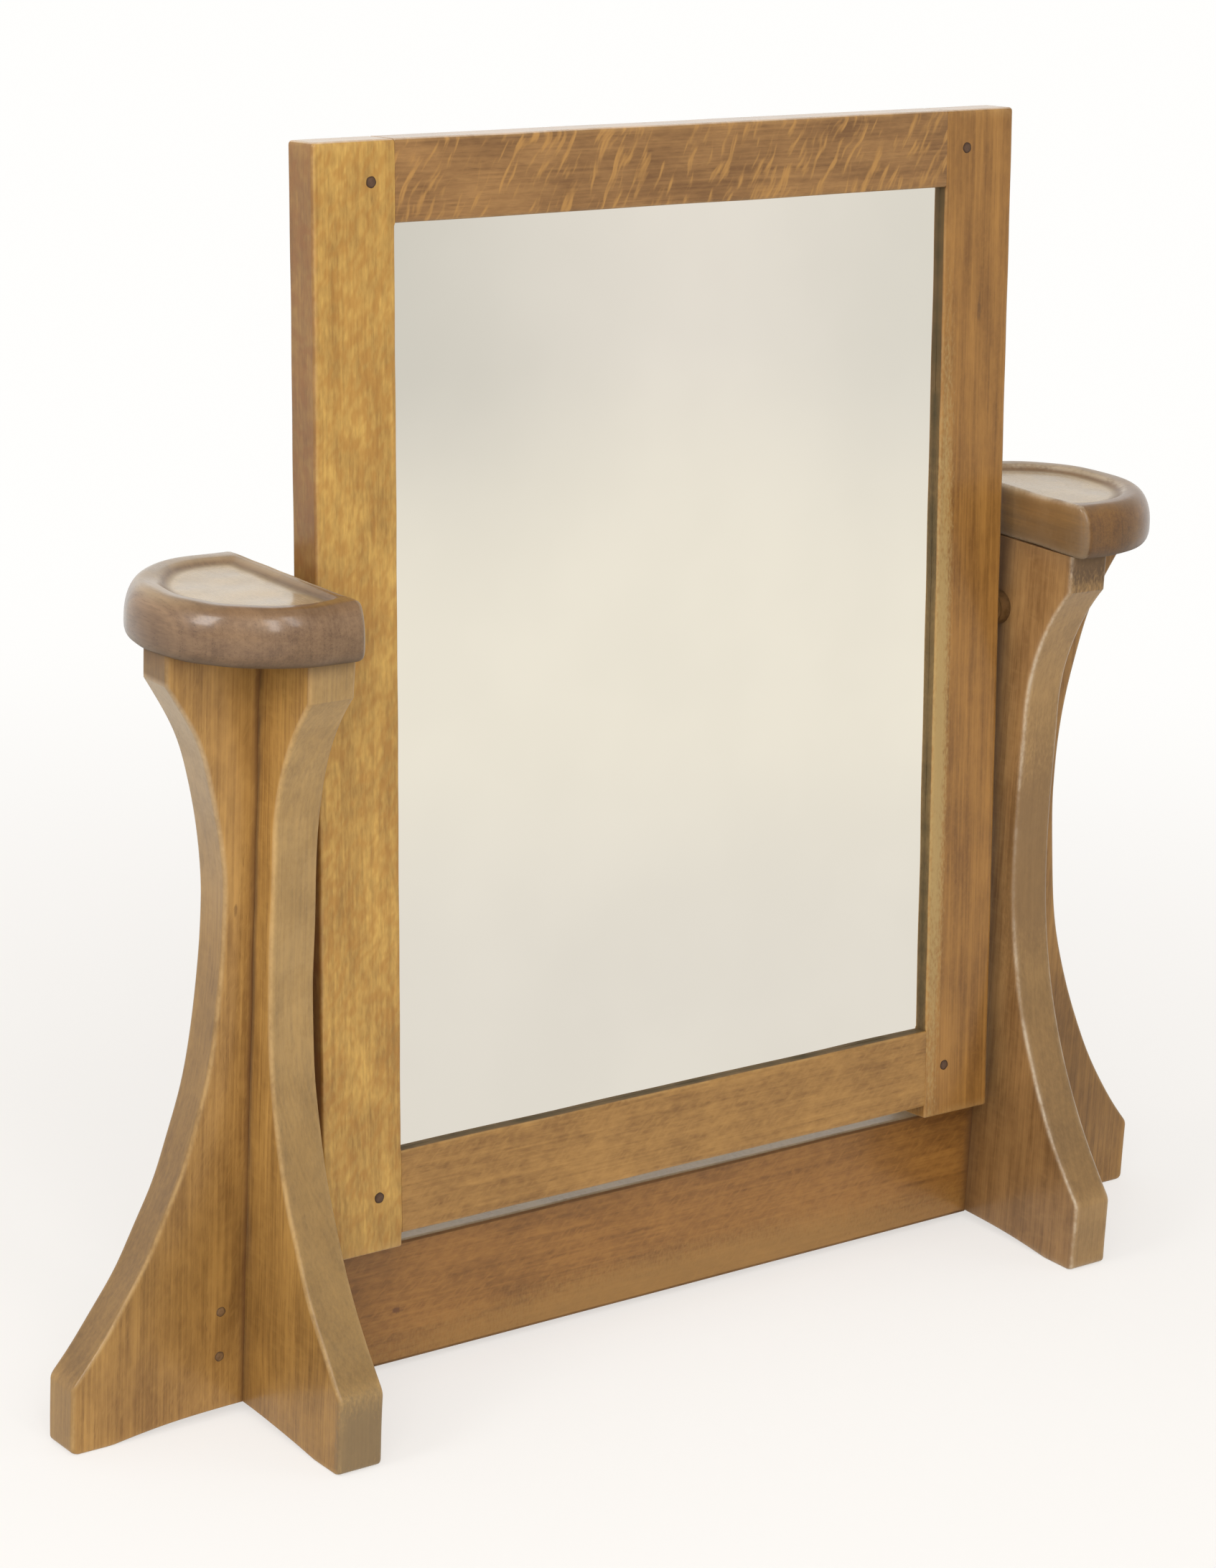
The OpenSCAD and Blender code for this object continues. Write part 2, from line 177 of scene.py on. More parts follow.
def put_in_scene(name: str, data: bpy.types.ID) -> bpy.types.Object:
    """Makes an object and links it to the scene.

    Args:
        name: Its name.
        data: Its mesh, light or camera.

    Returns:
        The object.
    """
    made = bpy.data.objects.new(name, data)
    bpy.context.scene.collection.objects.link(made)
    return made


def closed_faces(rows: int, ring: int) -> tuple[Array, Array]:
    """Numbers the faces of a grid of rings that is closed by a fan at each end.

    Point k of ring j is vertex j * ring + k, and the two fan centres follow the last ring.

    Args:
        rows: How many rings there are.
        ring: How many points each ring has.

    Returns:
        Quads as an (n, 4) array and triangles as a (k, 3) array.
    """
    row = ring * np.arange(rows - 1)[:, None]
    here = np.arange(ring)[None, :]
    after = (here + 1) % ring
    quads = np.stack([row + here, row + after, row + ring + after, row + ring + here], -1)
    last, centre = ring * (rows - 1), ring * rows
    start = np.stack([np.full(ring, centre), after[0], here[0]], -1)
    end = np.stack([np.full(ring, centre + 1), last + here[0], last + after[0]], -1)
    return quads.reshape(-1, 4), np.concatenate([start, end])


def signed_volume(points: Array, quads: Array, triangles: Array) -> float:
    """Volume inside a closed mesh, below zero where its faces point inwards.

    The sum of a . (b x c) / 6 over all triangles, with each quad cut in two.

    Args:
        points: Vertices.
        quads: Faces with four corners.
        triangles: Faces with three corners.

    Returns:
        The signed volume.
    """
    every = np.concatenate([quads[:, [0, 1, 2]], quads[:, [0, 2, 3]], triangles])
    a, b, c = (points[every[:, k]] for k in range(3))
    return float(np.einsum("ij,ij->i", a, np.cross(b, c)).sum() / 6)


def mesh_piece(name: str, skins: Sequence[Skin], sharp: float = 40.0) -> bpy.types.Object:
    """Makes one smooth-shaded mesh object of closed skins, with their masks as attributes.

    Args:
        name: Name of the object.
        skins: Closed skins, in millimetres.
        sharp: Edges that turn by more than this many degrees stay sharp.

    Returns:
        The new object, linked to the scene, with its place in its mesh.
    """
    vertices, faces, first = [], [], 0
    values: dict[str, list[Array]] = {mask: [] for mask in MASKS}
    for skin in skins:
        rows, ring = skin.points.shape[:2]
        flat = np.concatenate([skin.points.reshape(-1, 3), skin.points[[0, -1]].mean(1)])
        quads, triangles = closed_faces(rows, ring)
        if signed_volume(flat, quads, triangles) < 0:
            quads, triangles = quads[:, ::-1], triangles[:, ::-1]
        for mask, held in values.items():
            value = skin.masks.get(mask, np.zeros((rows, ring)))
            held.append(np.concatenate([value.ravel(), value[[0, -1]].mean(1)]))
        vertices.append(flat)
        faces += (quads + first).tolist() + (triangles + first).tolist()
        first += len(flat)
    mesh = bpy.data.meshes.new(name)
    mesh.from_pydata((np.concatenate(vertices) * MM).tolist(), [], faces)
    for mask, held in values.items():
        layer = mesh.attributes.new(mask, "FLOAT", "POINT")
        layer.data.foreach_set("value", np.concatenate(held).astype(np.float32))
    mesh.shade_smooth()
    mesh.set_sharp_from_angle(angle=math.radians(sharp))
    return put_in_scene(name, mesh)


@dataclass(frozen=True)
class Corner:
    """How one corner of a board's section is worked: its wear and its number of arc steps."""

    worn: float = 1.0
    steps: int = 5


SHARP = Corner(0.0, 0)


def corner_points(path: Sequence[tuple[object, object]], count: int) -> Array:
    """Corners for count stations, (count, n, 2), from pairs of numbers or of arrays."""
    return np.stack([np.stack([np.broadcast_to(c, count) for c in pair], -1) for pair in path], 1)


def worked_section(
    corners: Array, radii: Sequence[float] | Array, inset: Array, work: Sequence[Corner], steps: int
) -> tuple[Array, Array]:
    """Ring of points round a polygon with square corners, each rounded to a quarter circle.

    A corner V with unit directions p and n to its neighbours gives the arc
    V + r (p + n) - r (n cos a + p sin a), a = 0..90 degrees. Between arcs the points close up
    towards both ends, f = (1 - cos) / 2. The wear mask is strongest in the middle of an arc,
    0.2 + 0.8 sin^2 2a, and falls off as a bell curve along the sides.

    Args:
        corners: Corner points for each station, (stations, n, 2), in turning order.
        radii: Radius of each corner, (n) or (stations, n), on a board of full size.
        inset: How much smaller the board is at each station, all round.
        work: How each corner is worked; 0 steps leave it sharp.
        steps: Number of steps along each side.

    Returns:
        The rings, (stations, m, 2), and their wear mask, (stations, m).
    """
    radii = np.maximum(np.asarray(radii) - inset[:, None], LEAST_RADIUS)
    before = np.roll(corners, 1, axis=1) - corners
    after = np.roll(corners, -1, axis=1) - corners
    before = before / np.maximum(np.linalg.norm(before, axis=2, keepdims=True), 1e-9)
    after = after / np.maximum(np.linalg.norm(after, axis=2, keepdims=True), 1e-9)
    arcs, crests = [], []
    for k, corner in enumerate(work):
        r = radii[:, k, None, None] * (corner.steps > 0)
        a = np.linspace(0, np.pi / 2, corner.steps + 1)[None, :, None]
        p, n = before[:, k, None, :], after[:, k, None, :]
        arcs.append(corners[:, k, None, :] + r * (p + n) - r * (n * np.cos(a) + p * np.sin(a)))
        crests.append(WEAR_BESIDE + (1 - WEAR_BESIDE) * np.sin(2 * a[..., 0]) ** 2)
    fractions = 0.5 - 0.5 * np.cos(np.pi * np.arange(1, steps) / steps)
    rings, wear = [], []
    for k, corner in enumerate(work):
        follower = (k + 1) % len(work)
        start, end = arcs[k][:, -1:, :], arcs[follower][:, :1, :]
        length = np.linalg.norm(end - start, axis=2)
        rings += [arcs[k], start + (end - start) * fractions[None, :, None]]
        near = WEAR_BESIDE * corner.worn * bell(length * fractions, WEAR_REACH)
        far = WEAR_BESIDE * work[follower].worn * bell(length * (1 - fractions), WEAR_REACH)
        wear += [np.broadcast_to(corner.worn * crests[k], arcs[k].shape[:2]), np.maximum(near, far)]
    return np.concatenate(rings, 1), np.concatenate(wear, 1)


@dataclass
class Stations:
    """Places along a board where its section is drawn."""

    place: Array
    inset: Array
    scale: Array
    worn: Array


def stations(
    span: Pair, rounding: Pair, step: float, extra: Sequence[float] = (), worn: Pair = (1.0, 1.0)
) -> Stations:
    """Lays out stations along a board with quarter-round ends and flat caps.

    An end of radius R has place = R (1 - cos a) and inset = R (1 - sin a) for a = 0..90
    degrees, and its cap shrinks the first section towards its middle. Wear fades from each
    end as exp(-(distance / 3)^2), and inside a cap it is a fifth of that.

    Args:
        span: Where the board starts and ends.
        rounding: Radius of its two ends.
        step: Distance between plain stations.
        extra: Places that get a station of their own.
        worn: Wear of the two ends.

    Returns:
        The stations, from one fan centre to the other.
    """
    turn = np.linspace(0, np.pi / 2, END_RINGS)
    rise, draw = 1 - np.cos(turn), 1 - np.sin(turn)
    low, high = span[0] + rounding[0] * rise, (span[1] - rounding[1] * rise)[::-1]
    count = max(2, int(round((high[0] - low[-1]) / step)))
    middle = np.union1d(np.linspace(low[-1], high[0], count + 1)[1:-1], np.asarray(extra, float))
    middle = middle[(middle > low[-1] + LEAST_GAP) & (middle < high[0] - LEAST_GAP)]
    cap = np.ones(CAP_RINGS)
    place = np.concatenate([span[0] * cap, low, middle, high, span[1] * cap])
    inset = np.concatenate([
        rounding[0] * cap, rounding[0] * draw, np.zeros(len(middle)),
        rounding[1] * draw[::-1], rounding[1] * cap,
    ])
    shrink = np.linspace(0.04, 0.96, CAP_RINGS)
    scale = np.concatenate([shrink, np.ones(len(place) - 2 * CAP_RINGS), shrink[::-1]])
    fade = np.maximum(worn[0] * bell(place - span[0], 3.0), worn[1] * bell(span[1] - place, 3.0))
    return Stations(place, inset, scale, fade * np.where(scale < 0.9, 0.2, 1.0))


def swept(ring: Array, wear: Array, along: Stations, axes: tuple[int, int, int]) -> Skin:
    """Carries a section along a straight line.

    Args:
        ring: Section at each station, (stations, m, 2).
        wear: Wear mask of the section.
        along: The stations.
        axes: Which of X, Y, Z the section's two directions and the line are.

    Returns:
        The skin.
    """
    middle = ring.mean(1, keepdims=True)
    ring = middle + (ring - middle) * along.scale[:, None, None]
    points = np.empty(ring.shape[:2] + (3,))
    points[..., axes[0]] = ring[..., 0]
    points[..., axes[1]] = ring[..., 1]
    points[..., axes[2]] = along.place[:, None]
    worn = 1 - (1 - wear) * (1 - along.worn[:, None])
    return Skin(points, {"arris": worn})


def box_corners(low: Array, high: Array) -> Array:
    """Corners of a rectangle for each station, in turning order.

    Args:
        low: Lowest corner, (stations, 2).
        high: Highest corner, (stations, 2).

    Returns:
        An array (stations, 4, 2).
    """
    u0, v0, u1, v1 = low[:, 0], low[:, 1], high[:, 0], high[:, 1]
    return corner_points([(u0, v0), (u1, v0), (u1, v1), (u0, v1)], len(low))


def plain_bar(
    low: Triple, high: Triple, axis: int, radius: float,
    worn: float = 1.0, step: float = 6.0, steps: int = 10,
) -> Skin:
    """A straight bar with rounded long edges, its section carried along one axis.

    Args:
        low: Lowest corner of the bar.
        high: Highest corner of the bar.
        axis: The axis that the bar runs along.
        radius: Rounding of the long edges.
        worn: Wear of the long edges.
        step: Distance between stations.
        steps: Number of steps along each side of the section.

    Returns:
        The skin.
    """
    end_round, end_worn = 0.3, 0.3
    u, v = (axis + 1) % 3, (axis + 2) % 3
    along = stations((low[axis], high[axis]), (end_round,) * 2, step, worn=(end_worn,) * 2)
    inset = along.inset[:, None]
    corners = box_corners(np.array([[low[u], low[v]]]) + inset, np.array([[high[u], high[v]]]) - inset)
    ring, wear = worked_section(corners, [radius] * 4, along.inset, [Corner(worn)] * 4, steps)
    return swept(ring, wear, along, (u, v, axis))


def peg_skin(centre: Pair, span: Pair, radius: float, turn: float) -> Skin:
    """A whittled peg along Y: a slightly five-sided round with domed ends.

    radius(a) = r (1 + 0.025 cos(5 a + turn)), and each end closes in a dome 0.45 mm high.

    Args:
        centre: X and Z of the peg.
        span: Y of its two ends.
        radius: Its radius.
        turn: Turn of the five flats, in radians.

    Returns:
        The skin.
    """
    a = np.linspace(0, 2 * np.pi, 30, endpoint=False)
    dome = np.linspace(0.02, 1.0, 7)
    rise = 0.45 * dome ** 3
    shaft = np.linspace(span[0] + 1, span[1] - 1, 3)
    share = np.concatenate([dome, np.ones(len(shaft)), dome[::-1]])
    place = np.concatenate([span[0] + rise, shaft, (span[1] - rise)[::-1]])
    reach = share[:, None] * radius * (1 + 0.025 * np.cos(5 * a + turn))[None, :]
    points = np.stack([
        centre[0] + reach * np.cos(a), np.broadcast_to(place[:, None], reach.shape),
        centre[1] + reach * np.sin(a),
    ], -1)
    return Skin(points, {"nook": bell(1 - share, 0.25)[:, None] * np.ones_like(reach)})


# Shader wiring


class Wiring:
    """Lays nodes in one shader tree."""

    def __init__(self, tree: bpy.types.NodeTree) -> None:
        """Keeps the tree that the nodes go into."""
        self.tree = tree

    def node(self, kind: str, **settings: object) -> bpy.types.Node:
        """Adds a node.

        Args:
            kind: Its type, without the leading "ShaderNode".
            settings: Properties to set on it.

        Returns:
            The node.
        """
        made = self.tree.nodes.new("ShaderNode" + kind)
        for name, value in settings.items():
            setattr(made, name, value)
        return made

    def feed(self, target: Socket, value: object) -> None:
        """Links a socket to an input, or sets the input to a constant.

        Args:
            target: The input.
            value: A socket, a number, or a tuple of numbers.
        """
        if isinstance(value, bpy.types.NodeSocket):
            self.tree.links.new(value, target)
        elif isinstance(value, tuple) and len(value) == 3 and target.type == "RGBA":
            target.default_value = (*value, 1.0)
        else:
            target.default_value = value

    def feed_all(self, made: bpy.types.Node, *values: object) -> bpy.types.Node:
        """Feeds a node's first inputs in order.

        Args:
            made: The node.
            values: What its inputs take.

        Returns:
            The same node.
        """
        for target, value in zip(made.inputs, values):
            self.feed(target, value)
        return made

    def fill(self, made: bpy.types.Node, **values: object) -> bpy.types.Node:
        """Feeds a node's inputs by name.

        Args:
            made: The node.
            values: What its inputs take, with blanks in their names written as underscores.

        Returns:
            The same node.
        """
        for name, value in values.items():
            self.feed(made.inputs[name.replace("_", " ")], value)
        return made

    def group(self, tree: bpy.types.NodeTree, **values: object) -> bpy.types.NodeOutputs:
        """Places a node group, fills its inputs by name and returns its outputs."""
        return self.fill(self.node("Group", node_tree=tree), **values).outputs

    def math(self, operation: str, *values: object, clamp: bool = False) -> Socket:
        """Result of a Math node, kept between 0 and 1 if clamp is set."""
        return self.feed_all(self.node("Math", operation=operation, use_clamp=clamp), *values).outputs[0]

    def plus(self, a: object, b: object, clamp: bool = False) -> Socket:
        """The sum of two values."""
        return self.math("ADD", a, b, clamp=clamp)

    def minus(self, a: object, b: object, clamp: bool = False) -> Socket:
        """The first value less the second."""
        return self.math("SUBTRACT", a, b, clamp=clamp)

    def times(self, a: object, b: object, clamp: bool = False) -> Socket:
        """The product of two values."""
        return self.math("MULTIPLY", a, b, clamp=clamp)

    def vector(self, operation: str, *values: object) -> Socket:
        """Result of a Vector Math node, which is a number for a length."""
        made = self.feed_all(self.node("VectorMath", operation=operation), *values)
        return made.outputs["Value" if operation == "LENGTH" else "Vector"]

    def split(self, vector: Socket) -> tuple[Socket, ...]:
        """The three parts of a vector."""
        return tuple(self.feed_all(self.node("SeparateXYZ"), vector).outputs)

    def join(self, x: object, y: object, z: object) -> Socket:
        """A vector of three parts."""
        return self.feed_all(self.node("CombineXYZ"), x, y, z).outputs[0]

    def blend(self, share: object, a: Socket, b: Socket) -> Socket:
        """Mixes two shaders by the share of the second."""
        return self.feed_all(self.node("MixShader"), share, a, b).outputs[0]

    def mix(self, share: object, a: object, b: object, blend: str = "MIX") -> Socket:
        """Mixes two colours.

        Args:
            share: Share of the second colour.
            a: First colour.
            b: Second colour.
            blend: Way of mixing.

        Returns:
            The mixed colour.
        """
        made = self.node("Mix", data_type="RGBA", blend_type=blend)
        for target, value in zip((made.inputs[0], made.inputs[6], made.inputs[7]), (share, a, b)):
            self.feed(target, value)
        return made.outputs[2]

    def tinted(self, color: object, tint: object) -> Socket:
        """A colour multiplied by another."""
        return self.mix(1.0, color, tint, "MULTIPLY")

    def noise(
        self, place: Socket, detail: float, scales: Triple | None = None, line: bool = False
    ) -> Socket:
        """Noise between 0 and 1.

        Args:
            place: Where to read it, a number if line is set.
            detail: How many finer waves it has.
            scales: What the place is multiplied by first, if anything.
            line: Whether it runs along a single number.

        Returns:
            The noise value.
        """
        made = self.node("TexNoise", noise_dimensions="1D" if line else "3D")
        scaled = place if scales is None else self.vector("MULTIPLY", place, scales)
        self.feed(made.inputs["W" if line else "Vector"], scaled)
        return self.fill(made, Scale=1.0, Detail=detail).outputs[0]

    def step(self, value: Socket, low: object, high: object, top: object = 1.0) -> Socket:
        """Smooth step from 0 at low to top at high."""
        made = self.node("MapRange", interpolation_type="SMOOTHSTEP")
        return self.fill(made, Value=value, From_Min=low, From_Max=high, To_Max=top).outputs[0]

    def mask(self, name: str) -> Socket:
        """A mask that the mesh carries as an attribute."""
        return self.node("Attribute", attribute_name=name).outputs["Fac"]

    def bump(self, shader: bpy.types.Node, height: Socket, relief: float, strength: float) -> None:
        """Lets a height raise a shader's surface.

        Args:
            shader: The shader.
            height: The height.
            relief: Millimetres that a height of 1 stands for.
            strength: How much of it shows.
        """
        made = self.fill(self.node("Bump"), Strength=strength, Distance=relief * MM, Height=height)
        self.fill(shader, Normal=made.outputs[0])


def new_material(name: str) -> tuple[bpy.types.Material, Wiring, bpy.types.Node]:
    """Starts a material.

    Args:
        name: Its name.

    Returns:
        The material, its wiring and its Principled shader.
    """
    made = bpy.data.materials.new(name)
    made.use_nodes = True
    return made, Wiring(made.node_tree), made.node_tree.nodes["Principled BSDF"]


def new_group(
    name: str, takes: dict[str, str], gives: dict[str, str]
) -> tuple[bpy.types.NodeTree, Wiring, bpy.types.NodeOutputs, bpy.types.Node]:
    """Starts a shader node group.

    Args:
        name: Its name.
        takes: Kind of each of its inputs, by name.
        gives: Kind of each of its outputs, by name.

    Returns:
        The group, its wiring, the sockets of its inputs and its output node.
    """
    tree = bpy.data.node_groups.new(name, "ShaderNodeTree")
    for sockets, way in ((takes, "INPUT"), (gives, "OUTPUT")):
        for label, kind in sockets.items():
            tree.interface.new_socket(label, in_out=way, socket_type="NodeSocket" + kind)
    given = tree.nodes.new("NodeGroupInput").outputs
    return tree, Wiring(tree), given, tree.nodes.new("NodeGroupOutput")


@dataclass(frozen=True)
class OakFigure:
    """Shader group for sawn oak: bands, lines, streaks, pores, mottling, curl and ray flecks.

    A scale is how fast a pattern changes per millimetre across, through and along the grain.
    """

    wander_scale: Triple = (0.016, 0.016, 0.0035)
    line_scale: Triple = (0.72, 0.72, 0.011)
    streak_scale: Triple = (0.17, 0.17, 0.005)
    mottle_scale: Triple = (0.045, 0.045, 0.022)
    pore_scale: Triple = (2.0, 2.0, 0.13)
    bend_scale: Triple = (0.04, 0.04, 0.04)
    crowd_scale: Triple = (0.04, 0.04, 0.022)
    pore_rise: Pair = (0.55, 0.72)
    pore_band: Pair = (0.66, 0.40)
    pore_tint: Tone = (0.42, 0.36, 0.32)
    fleck_crowding: float = 0.26
    fleck_rise: float = 0.09

    def build(self) -> bpy.types.NodeTree:
        """Wires the figure as a solid pattern in millimetres, with the grain along Z.

        Bands are noise along the distance from the pith. The rest is noise that is drawn out
        along the grain, apart from the flecks, which are drawn out along a slanted line.

        Returns:
            The group.
        """
        depths = ("Band Depth", "Line Depth", "Streak Depth", "Mottle Depth", "Curl Depth")
        floats = ("Fleck Amount", "Fleck Bend", "Fleck Soft", "Fleck Rarity", "Pore Depth")
        takes = dict.fromkeys(("Vector", "Pith", "Curl Size", "Fleck Size"), "Vector")
        takes |= dict.fromkeys(("Pale", "Dark", "Ray"), "Color")
        takes |= dict.fromkeys((*depths, *floats, "Band", "Slant", "Wander"), "Float")
        gives = {"Color": "Color", "Pores": "Float", "Flecks": "Float"}
        tree, w, get, out = new_group("Oak figure", takes, gives)
        place = get["Vector"]
        away = w.vector("SUBTRACT", place, get["Pith"])
        away = w.vector("LENGTH", w.vector("MULTIPLY", away, (1.0, 1.0, 0.0)))
        away = w.plus(away, w.times(w.noise(place, 1.5, self.wander_scale), get["Wander"]))
        bands = w.noise(w.math("DIVIDE", away, get["Band"]), 2.0, line=True)
        patterns = (
            bands,
            w.noise(place, 3.0, self.line_scale),
            w.noise(place, 2.0, self.streak_scale),
            w.noise(place, 3.0, self.mottle_scale),
            w.noise(w.vector("DIVIDE", place, get["Curl Size"]), 2.0),
        )
        share: object = 0.5
        for pattern, name in zip(patterns, depths):
            share = w.plus(share, w.times(w.minus(pattern, 0.5), get[name]))
        color = w.mix(share, get["Dark"], get["Pale"])
        pores = w.step(w.noise(place, 1.0, self.pore_scale), *self.pore_rise)
        pores = w.times(w.times(pores, w.step(bands, *self.pore_band)), get["Pore Depth"])
        color = w.mix(pores, color, w.tinted(color, self.pore_tint))
        x, y, z = w.split(place)
        cos, sin = w.math("COSINE", get["Slant"]), w.math("SINE", get["Slant"])
        along = w.plus(w.times(z, cos), w.times(x, sin))
        across = w.minus(w.times(x, cos), w.times(z, sin))
        bend = w.times(w.noise(place, 1.0, self.bend_scale), get["Fleck Bend"])
        laid = w.vector("DIVIDE", w.join(across, y, along), get["Fleck Size"])
        laid = w.vector("ADD", laid, w.join(bend, 0.0, 0.0))
        crowd = w.times(w.noise(place, 1.0, self.crowd_scale), self.fleck_crowding)
        edge = w.minus(get["Fleck Rarity"], crowd)
        start, end = w.minus(edge, get["Fleck Soft"]), w.plus(edge, self.fleck_rise)
        flecks = w.times(w.step(w.noise(laid, 1.5), start, end), get["Fleck Amount"], clamp=True)
        w.fill(out, Color=w.mix(flecks, color, get["Ray"]), Pores=pores, Flecks=flecks)
        return tree


@dataclass(frozen=True)
class Handling:
    """Shader group for what hands, dusters and years do to the edges and corners of wood,
    and for dirt and painted shade in its nooks and a painted sheen on it.

    A swing is how much a mask follows the patches, and its least is what it has without them.
    """

    broad_scale: Triple = (0.05, 0.05, 0.05)
    fine_scale: Triple = (0.45, 0.45, 0.3)
    broad_share: float = 0.7
    fine_share: float = 0.3
    patch_rise: Pair = (0.38, 0.62)
    patch_least: float = 0.25
    dark_blotch: Tone = (0.80, 0.79, 0.78)
    pale_blotch: Tone = (1.18, 1.18, 1.2)
    rim_clean: float = 0.45
    # Darkening: painted shade on the trays' lower sides, and darker near the feet and wing blocks
    grime_tint: Tone = (0.52, 0.47, 0.38)
    grime_swing: float = 0.7
    grime_least: float = 0.4
    wear_power: float = 1.3
    # Dirt and painted shade in the nooks, and the painted sheen
    dirt_swing: float = 0.6
    dirt_least: float = 0.6
    bare_share: float = 0.75
    dirt_dull: float = 0.4
    bare_shine: float = 0.12
    patch_dull: float = 0.22
    dirt_cover: float = 0.95

    def build(self) -> bpy.types.NodeTree:
        """Wires worn arrises, board edges of another tone, dirt and painted shade in the nooks, a
        darkening and a painted sheen.

        Each mask is broken up by noise and laid over the colour below it: board edges first,
        then the darkening, wear, dirt and painted shade, and the painted sheen last. Dirt and
        painted shade also dull the polish.

        Returns:
            The group.
        """
        colors = ("Color", "Worn", "Rim Tone", "Dirt", "Pale Tone")
        floats = ("Arris", "Rim", "Nook", "Pale", "Grime", "Rim Share", "Wear")
        takes = {"Vector": "Vector"} | dict.fromkeys(colors, "Color") | dict.fromkeys(floats, "Float")
        gives = {"Color": "Color", "Dull": "Float", "Clean": "Float"}
        tree, w, get, out = new_group("Handling", takes, gives)
        broad = w.noise(get["Vector"], 4.0, self.broad_scale)
        fine = w.noise(get["Vector"], 2.0, self.fine_scale)
        both = w.plus(w.times(broad, self.broad_share), w.times(fine, self.fine_share))
        patch = w.times(w.step(both, *self.patch_rise), 1 - self.patch_least)
        patch = w.plus(patch, self.patch_least)
        blotch = w.mix(patch, self.dark_blotch, self.pale_blotch)
        edge = w.mix(self.rim_clean, w.tinted(get["Rim Tone"], blotch), get["Color"])
        color = w.mix(w.times(get["Rim"], get["Rim Share"]), get["Color"], edge)
        # Darkening, which on the trays is painted shade
        grime = w.plus(w.times(both, self.grime_swing), self.grime_least)
        grime = w.times(get["Grime"], grime, clamp=True)
        color = w.mix(grime, color, w.tinted(color, self.grime_tint))
        wear = w.times(w.math("POWER", get["Arris"], self.wear_power), get["Wear"])
        color = w.mix(w.times(wear, patch, clamp=True), color, get["Worn"])
        # Dirt and painted shade in the nooks
        dirt = w.plus(w.times(broad, self.dirt_swing), self.dirt_least)
        dirt = w.times(get["Nook"], dirt, clamp=True)
        color = w.mix(dirt, color, get["Dirt"])
        # Painted sheen, laid over everything
        bare = w.mix(self.bare_share, color, w.tinted(get["Pale Tone"], blotch))
        color = w.mix(get["Pale"], color, bare)
        dull = w.minus(w.times(dirt, self.dirt_dull), w.times(get["Pale"], self.bare_shine))
        dull = w.plus(dull, w.times(w.minus(broad, 0.5), self.patch_dull))
        clean = w.minus(1.0, w.times(dirt, self.dirt_cover), clamp=True)
        w.fill(out, Color=color, Dull=dull, Clean=clean)
        return tree


@dataclass(frozen=True)
class Blemish:
    """Shader group for one knot, scar, stain or patch of painted shade at a place on a piece."""

    ragged_scale: Triple = (0.7, 0.7, 0.3)
    ragged: float = 0.9
    core: float = 0.35

    def build(self) -> bpy.types.NodeTree:
        """Wires a soft ellipse with a ragged outline: full inside its core, gone at its reach.

        Returns:
            The group.
        """
        takes = dict.fromkeys(("Vector", "Centre", "Reach"), "Vector")
        takes |= {"Color": "Color", "Tone": "Color", "Strength": "Float"}
        tree, w, get, out = new_group("Blemish", takes, {"Color": "Color", "Mask": "Float"})
        offset = w.vector("SUBTRACT", get["Vector"], get["Centre"])
        away = w.vector("LENGTH", w.vector("DIVIDE", offset, get["Reach"]))
        ragged = w.minus(w.noise(get["Vector"], 3.0, self.ragged_scale), 0.5)
        away = w.plus(away, w.times(ragged, self.ragged))
        mask = w.times(w.step(away, 1.0, self.core), get["Strength"])
        w.fill(out, Color=w.mix(mask, get["Color"], get["Tone"]), Mask=mask)
        return tree


# The shader groups that all oak shares, which main builds once
GROUPS: dict[str, bpy.types.NodeTree] = {}

# Fields of a finish that are inputs of the same name in the figure and in the handling
FIGURE_INPUTS = (
    "pith", "band", "band_depth", "line_depth", "streak_depth", "mottle_depth", "curl_depth",
    "curl_size", "pore_depth", "fleck_amount", "fleck_size", "fleck_bend", "fleck_soft",
    "fleck_rarity", "wander",
)
HANDLING_INPUTS = ("worn", "rim_tone", "rim_share", "dirt", "pale_tone", "wear")


@dataclass(frozen=True)
class Mark:
    """A knot, scar, stain or painted shade: its place and reach in millimetres, tone, strength and depth.
    """

    centre: Triple
    reach: Triple
    tone: Tone = (0.05, 0.03, 0.015)
    strength: float = 0.8
    sunk: float = 1.0


